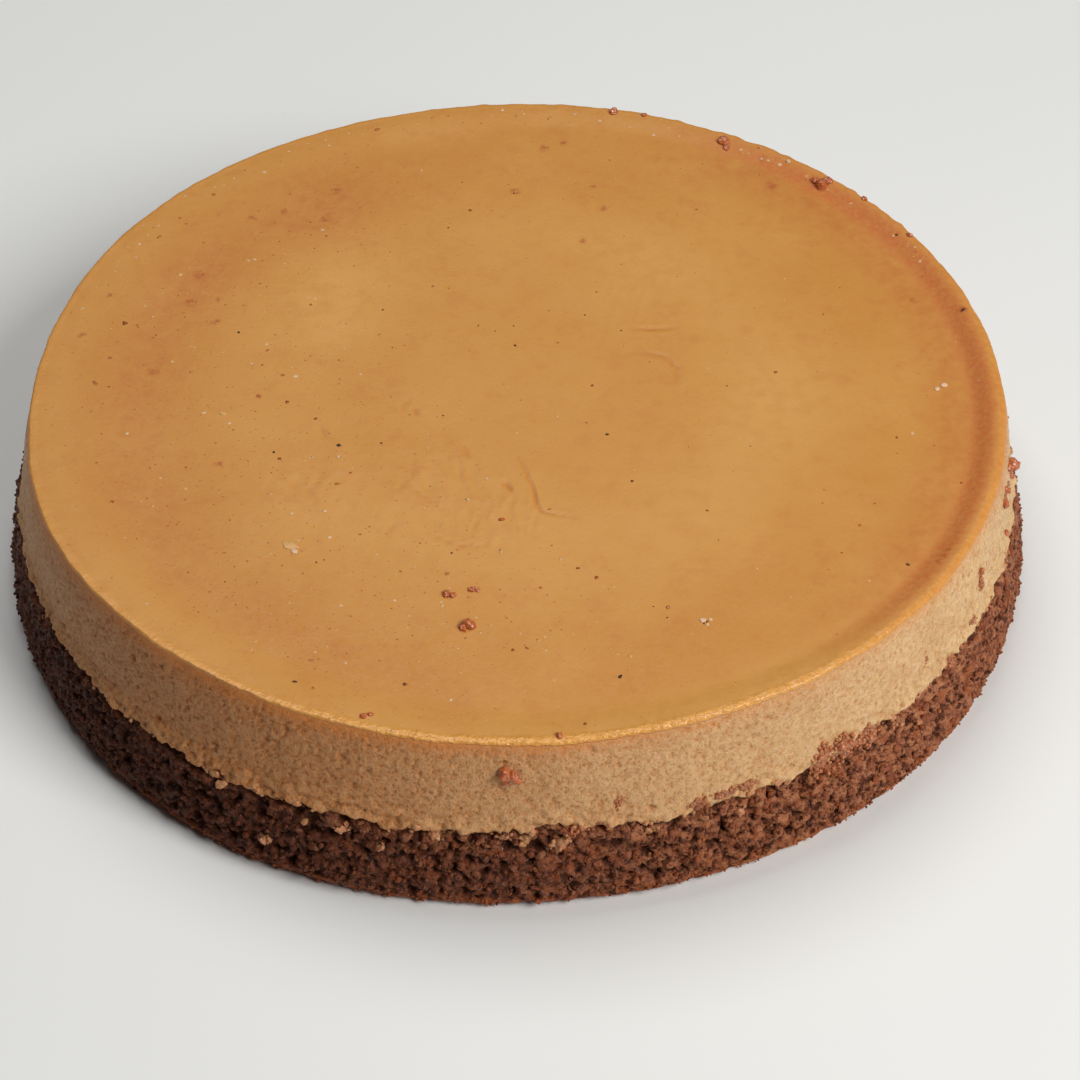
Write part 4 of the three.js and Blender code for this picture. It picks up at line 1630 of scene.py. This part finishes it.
def custard_material(finish):
    """Porous baked custard: pale ridges over brown pores, partly painted highlight on the ridges and painted
    shade in the pores, darker and redder on one side as painted shade and warm reflected light, and soaked
    with syrup in places under the edge, brightened just under the edge as painted light."""
    made, tree, shader, place = new_material("Baked custard", 0.5, 0.12)
    open_and_lit = mask(tree, "open_and_lit")
    depth = mask(tree, "below_edge")
    painted_shade_warm = mask(tree, "painted_shade_warm")
    fine = times(tree, noise(tree, place, 0.8, 3.0, 0.6), 0.6)
    bent = bent_place(tree, place, 1.2, 0.8)
    pits = times(tree, band(tree, dots(tree, bent, 0.95), 0.12, 0.5), 0.4)
    small = times(tree, band(tree, dots(tree, bent, 0.55), 0.1, 0.45), 0.25)
    relief = plus(tree, fine, plus(tree, pits, small))
    height = food_grain(tree, place, 0.6)[1]
    ridges = lace(tree, bent_place(tree, place, 1.5, 1.0), 1.3, 0.3)
    ridges = times(tree, ridges, band(tree, noise(tree, place, 1.3, 2.0), 0.4, 0.6))
    # The pores are painted darker on the side with painted shade.
    deep = band(tree, painted_shade_warm, 0.0, 0.8, 0.16, 0.48)
    pitted = times(tree, band(tree, relief, 0.45, 1.05, -1.0, 0.7), deep)
    shown = plus(tree, open_and_lit, pitted)
    # Darker pores and paler ridges: partly the custard's own colour, partly painted shade in the pores and a
    # painted highlight on the crests.
    tone = mix(tree, band(tree, shown, -0.1, 0.6), finish.custard_deep, finish.custard)
    tone = mix(tree, band(tree, shown, 0.5, 1.0), tone, finish.custard_pale)
    tone = mix(tree, times(tree, ridges, 0.8), tone, finish.custard_pale)
    slow = band(tree, noise(tree, place, 9.0, 3.0), 0.45, 0.75, 0.0, 0.25)
    tone = mix(tree, slow, tone, finish.custard_deep)
    # Painted shade and warm reflected light: darker, redder custard on the front left, less on the ridges.
    under = times(tree, painted_shade_warm, band(tree, shown, 0.0, 1.1, 1.0, 0.75))
    under = times(tree, under, band(tree, ridges, 0.0, 1.0, 1.0, 0.85))
    tone = mix(tree, under, tone, finish.custard_shade_warm)
    ragged = plus(tree, depth, band(tree, noise(tree, place, 1.8, 4.0, 0.6), 0.25, 0.75, -1.3, 1.3))
    stained = plus(tree, band(tree, ragged, 3.3, 0.3, 0.0, 0.62), band(tree, ragged, 8.0, 2.0, 0.0, 0.2))
    soaked = times(tree, stained, mask(tree, "soaked"))
    tone = mix(tree, soaked, tone, finish.custard_soaked)
    # Under the edge: orange syrup stain, brightened as painted light.
    line = band(tree, mask(tree, "soaked"), 0.2, 1.0, 0.35, 0.9)
    line = times(tree, band(tree, ragged, 2.2, -0.6), line)
    tone = mix(tree, line, tone, finish.custard_rim_stain_and_light)
    wet = band(tree, noise(tree, place, 1.1, 2.0, 0.6), 0.52, 0.64)
    wet = times(tree, wet, band(tree, painted_shade_warm, 0.0, 0.9, 1.0, 0.25))
    tree.links.new(band(tree, wet, 0.0, 1.0, 0.35, 1.0), shader.inputs["Specular IOR Level"])
    rough = band(tree, wet, 0.0, 1.0, 0.55, 0.22)
    raised = times(tree, ridges, band(tree, painted_shade_warm, 0.0, 0.9, 0.65, 0.3))
    height = plus(tree, plus(tree, height, relief), raised)
    finish_surface(tree, shader, tone, rough, height, 0.13)
    return made


def crumb_tone(tree, place, finish, light, low):
    """Colour of the sponge's crumb: near black to brown by how light it is, amber and redder in cloudy
    places, and redder in the lowest millimetres, partly a baked crust and partly painted warm reflected
    light."""
    tone = mix(tree, light, finish.sponge_deep, finish.sponge)
    red = band(tree, noise(tree, place, 4.0, 4.0, 0.6), 0.46, 0.66, 0.0, 0.35)
    red = times(tree, calculate(tree, "MAXIMUM", red, low), band(tree, light, 0.0, 0.6, 0.25, 1.0))
    return mix(tree, red, tone, finish.sponge_red)


def add_glints(tree, shader, place, most, least):
    """Moist glints: a thin coat in small spots, over beads of a fine bump of its own. Its weight falls from
    most to least over the sponge's painted shade, and is low on the paler crumb near the custard and on the
    painted light at the right of the front."""
    wet = band(tree, mask(tree, "painted_shade_side"), 0.0, 0.85, most, least)
    weight = times(tree, wet, band(tree, mask(tree, "dry_and_lit"), 0.1, 0.6, 1.0, 0.2))
    spots = band(tree, noise(tree, place, 0.9, 2.0, 0.6), 0.54, 0.62, 0.0, weight)
    tree.links.new(spots, shader.inputs["Coat Weight"])
    shader.inputs["Coat Roughness"].default_value = 0.12
    shader.inputs["Coat IOR"].default_value = 2.0
    beads = dots(tree, place, 0.65)
    inputs = {"Height": times(tree, beads, beads), "Distance": 0.35 * MM, "Strength": 1.0}
    bump = add_node(tree, "ShaderNodeBump", inputs, invert=True)
    tree.links.new(bump.outputs["Normal"], shader.inputs["Coat Normal"])


def sponge_material(finish):
    """Dark wet sponge: beaded crumb lighter and redder on its lumps and near black in its pits as painted
    shade, darker with painted shade on its left side, with wet glints, and paler crumb near the custard and,
    as painted light, on the right of the front."""
    made, tree, shader, place = new_material("Chocolate sponge", 0.4, 0.06, 0.18)
    open_and_lit = mask(tree, "open_and_lit")
    bent = bent_place(tree, place, 1.5, 0.9)
    knobs = dots(tree, bent, 1.1)
    finer = dots(tree, bent, 0.5)
    grain = food_grain(tree, place, 0.8)[0]
    lumps = times(tree, times(tree, knobs, knobs), -0.6)
    craggy = band(tree, noise(tree, bent, 1.5, 4.0, 0.65), 0.3, 0.7, -0.62, 0.68)
    lumps = plus(tree, lumps, craggy)
    beads = times(tree, times(tree, finer, finer), -0.5)
    relief = plus(tree, plus(tree, lumps, beads), grain)
    # Painted shade: the crumb turns near black in its pits and between the lumps.
    shown = plus(tree, open_and_lit, band(tree, relief, -0.7, 0.7, -0.35, 0.35))
    cloud = band(tree, noise(tree, place, 2.6, 4.0, 0.6), 0.3, 0.7, -0.25, 0.2)
    light = band(tree, plus(tree, shown, cloud), 0.1, 1.0)
    # The lowest millimetres are redder: partly a baked crust, partly painted warm reflected light.
    low = times(tree, mask(tree, "crust"), 0.7)
    tone = crumb_tone(tree, place, finish, light, low)
    # Paler crumb near the custard as dry crumb, and on the right of the front as painted light.
    tan = band(tree, noise(tree, place, 2.2, 3.0, 0.6), 0.36, 0.6)
    tan = times(tree, times(tree, tan, mask(tree, "dry_and_lit")), band(tree, shown, 0.3, 0.9))
    tone = mix(tree, tan, tone, finish.sponge_pale)
    # Painted shade: the crumb is darkened on the sponge's left side, less where it is tan and near the
    # underside.
    painted_shade_side = times(tree, mask(tree, "painted_shade_side"), band(tree, tan, 0.0, 0.5, 1.0, 0.6))
    painted_shade_side = times(tree, painted_shade_side, band(tree, low, 0.0, 0.7, 1.0, 0.5))
    tone = mix(tree, painted_shade_side, tone, finish.sponge_deep)
    add_glints(tree, shader, place, 0.55, 0.15)
    rough = band(tree, grain, 0.3, 0.7, 0.35, 0.55)
    finish_surface(tree, shader, tone, rough, relief, 0.3)
    return made


def grain_material(finish):
    """Loose crumb of the sponge: lighter and darker in clouds, each grain a little different, darker with
    painted shade on the sponge's left side, with wet glints."""
    made, tree, shader, place = new_material("Sponge grain", 0.4, 0.08, 0.18)
    grain, height = food_grain(tree, place, 0.5)
    tint = mask(tree, "tint")
    cloud = band(tree, noise(tree, place, 2.6, 4.0, 0.6), 0.3, 0.7, 0.0, 1.0)
    light = plus(tree, times(tree, cloud, 0.75), times(tree, tint, 0.3))
    light = plus(tree, light, band(tree, grain, 0.3, 0.7, -0.2, 0.2))
    tone = crumb_tone(tree, place, finish, band(tree, light, 0.05, 0.95), mask(tree, "crust"))
    tone = mix(tree, band(tree, tint, 0.8, 1.0, 0.0, 0.5), tone, finish.sponge_pale)
    # Painted shade: the grains are darkened on the sponge's left side, less near the underside.
    painted_shade_side = times(tree, mask(tree, "painted_shade_side"), band(tree, mask(tree, "crust"), 0.0, 0.7, 1.0, 0.5))
    tone = mix(tree, painted_shade_side, tone, finish.sponge_deep)
    add_glints(tree, shader, place, 0.6, 0.18)
    rough = band(tree, grain, 0.3, 0.7, 0.35, 0.55)
    finish_surface(tree, shader, tone, rough, height, 0.1)
    return made


def crumb_material(finish):
    """Moist chocolate crumbs: glossy and red-brown where loose, browner where rubbed on the custard."""
    made, tree, shader, place = new_material("Chocolate crumb", 0.25, 0.4, 0.8)
    grain, height = food_grain(tree, place, 0.8)
    rubbed = mask(tree, "tint")
    tone = mix(tree, band(tree, grain, 0.3, 0.65, 0.0, 0.7), finish.crumb, finish.caramel_red)
    brown = mix(tree, band(tree, grain, 0.3, 0.56), finish.sponge, finish.sponge_pale)
    brown = mix(tree, 0.45, brown, finish.sponge_red)
    tone = mix(tree, times(tree, rubbed, 0.85), tone, brown)
    gloss = plus(tree, band(tree, grain, 0.3, 0.7, 0.1, 0.26), times(tree, rubbed, 0.16))
    finish_surface(tree, shader, tone, gloss, height, 0.05)
    return made


def custard_crumb_material(finish):
    """Crumbs of custard, some browned by the sponge."""
    made, tree, shader, place = new_material("Custard crumb", 0.4, 0.12)
    grain, height = food_grain(tree, place, 0.7)
    brown = band(tree, noise(tree, place, 2.4, 2.0), 0.25, 0.5, 0.45, 1.0)
    tone = mix(tree, brown, finish.custard, finish.sponge_pale)
    tone = mix(tree, band(tree, grain, 0.45, 0.7, 0.0, 0.3), tone, finish.custard)
    tone = mix(tree, band(tree, mask(tree, "tint"), 0.5, 1.0, 0.0, 0.4), tone, finish.custard_deep)
    rough = band(tree, grain, 0.3, 0.7, 0.25, 0.5)
    finish_surface(tree, shader, tone, rough, height, 0.08)
    return made


def curd_material(finish):
    """Pale curds and bubbles, the bubbles' paleness partly a painted highlight."""
    made, tree, shader, place = new_material("Pale speck", 0.4, 0.1)
    grain, height = food_grain(tree, place, 0.6)
    tone = mix(tree, mask(tree, "tint"), finish.caramel_pale, finish.speck_pale_and_highlight)
    tone = mix(tree, band(tree, grain, 0.4, 0.75, 0.0, 0.5), tone, finish.caramel_pale)
    rough = band(tree, grain, 0.3, 0.7, 0.3, 0.5)
    finish_surface(tree, shader, tone, rough, height, 0.05)
    return made


def syrup_material(finish):
    """Spots of burnt syrup, from deep caramel to red-brown."""
    made, tree, shader, place = new_material("Burnt syrup", 0.35, 0.1)
    grain, height = food_grain(tree, place, 0.5)
    tone = mix(tree, mask(tree, "tint"), finish.caramel_deep, finish.speck_red)
    tone = mix(tree, band(tree, grain, 0.45, 0.75, 0.0, 0.5), tone, finish.caramel)
    rough = band(tree, grain, 0.3, 0.7, 0.3, 0.45)
    finish_surface(tree, shader, tone, rough, height, 0.03)
    return made


def speck_material(finish):
    """Dark specks, from near black to brown."""
    made, tree, shader, place = new_material("Dark speck", 0.5)
    grain, height = food_grain(tree, place, 0.4)
    shown = plus(tree, times(tree, mask(tree, "tint"), 0.6), grain)
    tone = mix(tree, band(tree, shown, 0.5, 1.2), finish.speck_dark, finish.sponge_red)
    rough = band(tree, grain, 0.3, 0.7, 0.4, 0.6)
    finish_surface(tree, shader, tone, rough, height, 0.04)
    return made


def floor_material(stage):
    """Plain pale floor, a little uneven in tone."""
    made, tree, shader, place = new_material("Pale floor", 0.7)
    cloud = band(tree, noise(tree, place, 260, 2.0), 0.3, 0.7)
    deeper = [value * 0.985 for value in stage.floor_tone]
    tone = mix(tree, cloud, deeper, stage.floor_tone)
    rough = band(tree, cloud, 0.0, 1.0, 0.68, 0.74)
    finish_surface(tree, shader, tone, rough, cloud, 0.01)
    return made


# ---------------------------------------------------------------- stage


def aimed(place, target):
    """A matrix at a place that looks at a target with its own -Z."""
    turn = (Vector(target) - Vector(place)).to_track_quat("-Z", "Y")
    return Matrix.Translation(place) @ turn.to_matrix().to_4x4()


def add_area_light(name, place, target, side, power):
    """A square white area light that shines on a target."""
    lamp = bpy.data.lights.new(name, "AREA")
    lamp.size = side
    lamp.energy = power
    lamp.color = LIGHT_TINT
    made = bpy.data.objects.new(name, lamp)
    made.matrix_world = aimed(place, target)
    bpy.context.scene.collection.objects.link(made)


def round_about(turn, rise, distance):
    """A place at an angle round the cake, a rise above the floor and a distance."""
    flat = distance * math.cos(rise)
    return (flat * math.cos(turn), flat * math.sin(turn), distance * math.sin(rise))


def make_stage(stage):
    """Floor, lights, surroundings and camera."""
    half = stage.floor_side / 2
    corners = np.array([(-half, -half, 0), (half, -half, 0), (half, half, 0), (-half, half, 0)])
    corners[:, 2] = -0.05 * MM
    floor = build_object("floor", corners, np.array([[0, 1, 2, 3]]), np.empty((0, 3), int))
    floor.data.materials.append(floor_material(stage))
    middle = (0, 0, 0.02)
    key_place = round_about(stage.key_turn, stage.key_rise, stage.key_distance)
    add_area_light("Key light", key_place, middle, stage.key_size, stage.key_power)
    add_area_light("Top light", TOP_LIGHT_PLACE, middle, TOP_LIGHT_SIDE, stage.top_power)
    world = bpy.data.worlds.new("Surroundings")
    world.use_nodes = True
    background = world.node_tree.nodes["Background"]
    background.inputs["Color"].default_value = SKY_TINT
    background.inputs["Strength"].default_value = stage.sky_strength
    scene = bpy.context.scene
    scene.world = world
    scene.view_settings.view_transform = "Standard"
    lens = bpy.data.cameras.new("Camera")
    lens.sensor_width = 36.0
    lens.lens = stage.camera_lens
    lens.clip_start = 0.01
    camera = bpy.data.objects.new("Camera", lens)
    rise = stage.camera_rise
    back = stage.camera_distance * Vector((0, -math.cos(rise), math.sin(rise)))
    upright = Matrix.Rotation(math.pi / 2 - rise, 4, "X")
    roll = Matrix.Rotation(stage.camera_roll, 4, "Z")
    camera.matrix_world = Matrix.Translation(Vector(CAMERA_TARGET) + back) @ upright @ roll
    scene.collection.objects.link(camera)
    scene.camera = camera


# ---------------------------------------------------------------- operators and panel


def build(*makers):
    """Runs the makers of some pieces with the present settings, for an operator."""
    shape, finish, _ = settings()
    for make in makers:
        make(shape, finish)
    return {"FINISHED"}


class CHOCOFLAN_OT_sponge(bpy.types.Operator):
    """Build the chocolate sponge"""

    bl_idname = "chocoflan.sponge"
    bl_label = "Sponge"

    def execute(self, context):
        return build(make_sponge)


class CHOCOFLAN_OT_grains(bpy.types.Operator):
    """Scatter grains of crumb over the sponge"""

    bl_idname = "chocoflan.grains"
    bl_label = "Sponge grains"

    def execute(self, context):
        return build(make_sponge_grains)


class CHOCOFLAN_OT_custard(bpy.types.Operator):
    """Build the baked custard's side"""

    bl_idname = "chocoflan.custard"
    bl_label = "Custard"

    def execute(self, context):
        return build(make_custard)


class CHOCOFLAN_OT_caramel(bpy.types.Operator):
    """Build the caramel skin over the top and the rim"""

    bl_idname = "chocoflan.caramel"
    bl_label = "Caramel top"

    def execute(self, context):
        return build(make_caramel_top)


class CHOCOFLAN_OT_crumbs(bpy.types.Operator):
    """Place the loose crumbs of chocolate and custard"""

    bl_idname = "chocoflan.crumbs"
    bl_label = "Crumbs"

    def execute(self, context):
        return build(make_chocolate_crumbs, make_custard_crumbs)


class CHOCOFLAN_OT_specks(bpy.types.Operator):
    """Scatter dark specks, pale specks and spots of burnt syrup over the top"""

    bl_idname = "chocoflan.specks"
    bl_label = "Specks"

    def execute(self, context):
        return build(make_dark_specks, make_pale_specks, make_red_spots)


class CHOCOFLAN_OT_stage(bpy.types.Operator):
    """Set up floor, lights and camera"""

    bl_idname = "chocoflan.stage"
    bl_label = "Stage"

    def execute(self, context):
        make_stage(settings()[2])
        return {"FINISHED"}


class CHOCOFLAN_PT_panel(bpy.types.Panel):
    """Sidebar panel with the cake's settings and the buttons that build it"""

    bl_idname = "CHOCOFLAN_PT_panel"
    bl_label = "Chocoflan"
    bl_space_type = "VIEW_3D"
    bl_region_type = "UI"
    bl_category = "Chocoflan"

    def draw(self, context):
        column = self.layout.column()
        for group in settings():
            for name in group.__annotations__:
                column.prop(group, name)
        for operator in OPERATORS:
            column.operator(operator.bl_idname)


OPERATORS = (
    CHOCOFLAN_OT_stage,
    CHOCOFLAN_OT_sponge,
    CHOCOFLAN_OT_grains,
    CHOCOFLAN_OT_custard,
    CHOCOFLAN_OT_caramel,
    CHOCOFLAN_OT_crumbs,
    CHOCOFLAN_OT_specks,
)
GROUPS = (CHOCOFLAN_PG_shape, CHOCOFLAN_PG_finish, CHOCOFLAN_PG_stage)


def register():
    for kind in (*GROUPS, *OPERATORS, CHOCOFLAN_PT_panel):
        bpy.utils.register_class(kind)
    bpy.types.Scene.chocoflan_shape = bpy.props.PointerProperty(type=CHOCOFLAN_PG_shape)
    bpy.types.Scene.chocoflan_finish = bpy.props.PointerProperty(type=CHOCOFLAN_PG_finish)
    bpy.types.Scene.chocoflan_stage = bpy.props.PointerProperty(type=CHOCOFLAN_PG_stage)


def unregister():
    del bpy.types.Scene.chocoflan_stage
    del bpy.types.Scene.chocoflan_finish
    del bpy.types.Scene.chocoflan_shape
    for kind in (CHOCOFLAN_PT_panel, *reversed(OPERATORS), *reversed(GROUPS)):
        bpy.utils.unregister_class(kind)


def main():
    """Builds the whole cake."""
    register()
    bpy.ops.chocoflan.stage()
    bpy.ops.chocoflan.sponge()
    bpy.ops.chocoflan.grains()
    bpy.ops.chocoflan.custard()
    bpy.ops.chocoflan.caramel()
    bpy.ops.chocoflan.crumbs()
    bpy.ops.chocoflan.specks()


if __name__ == "__main__":
    main()
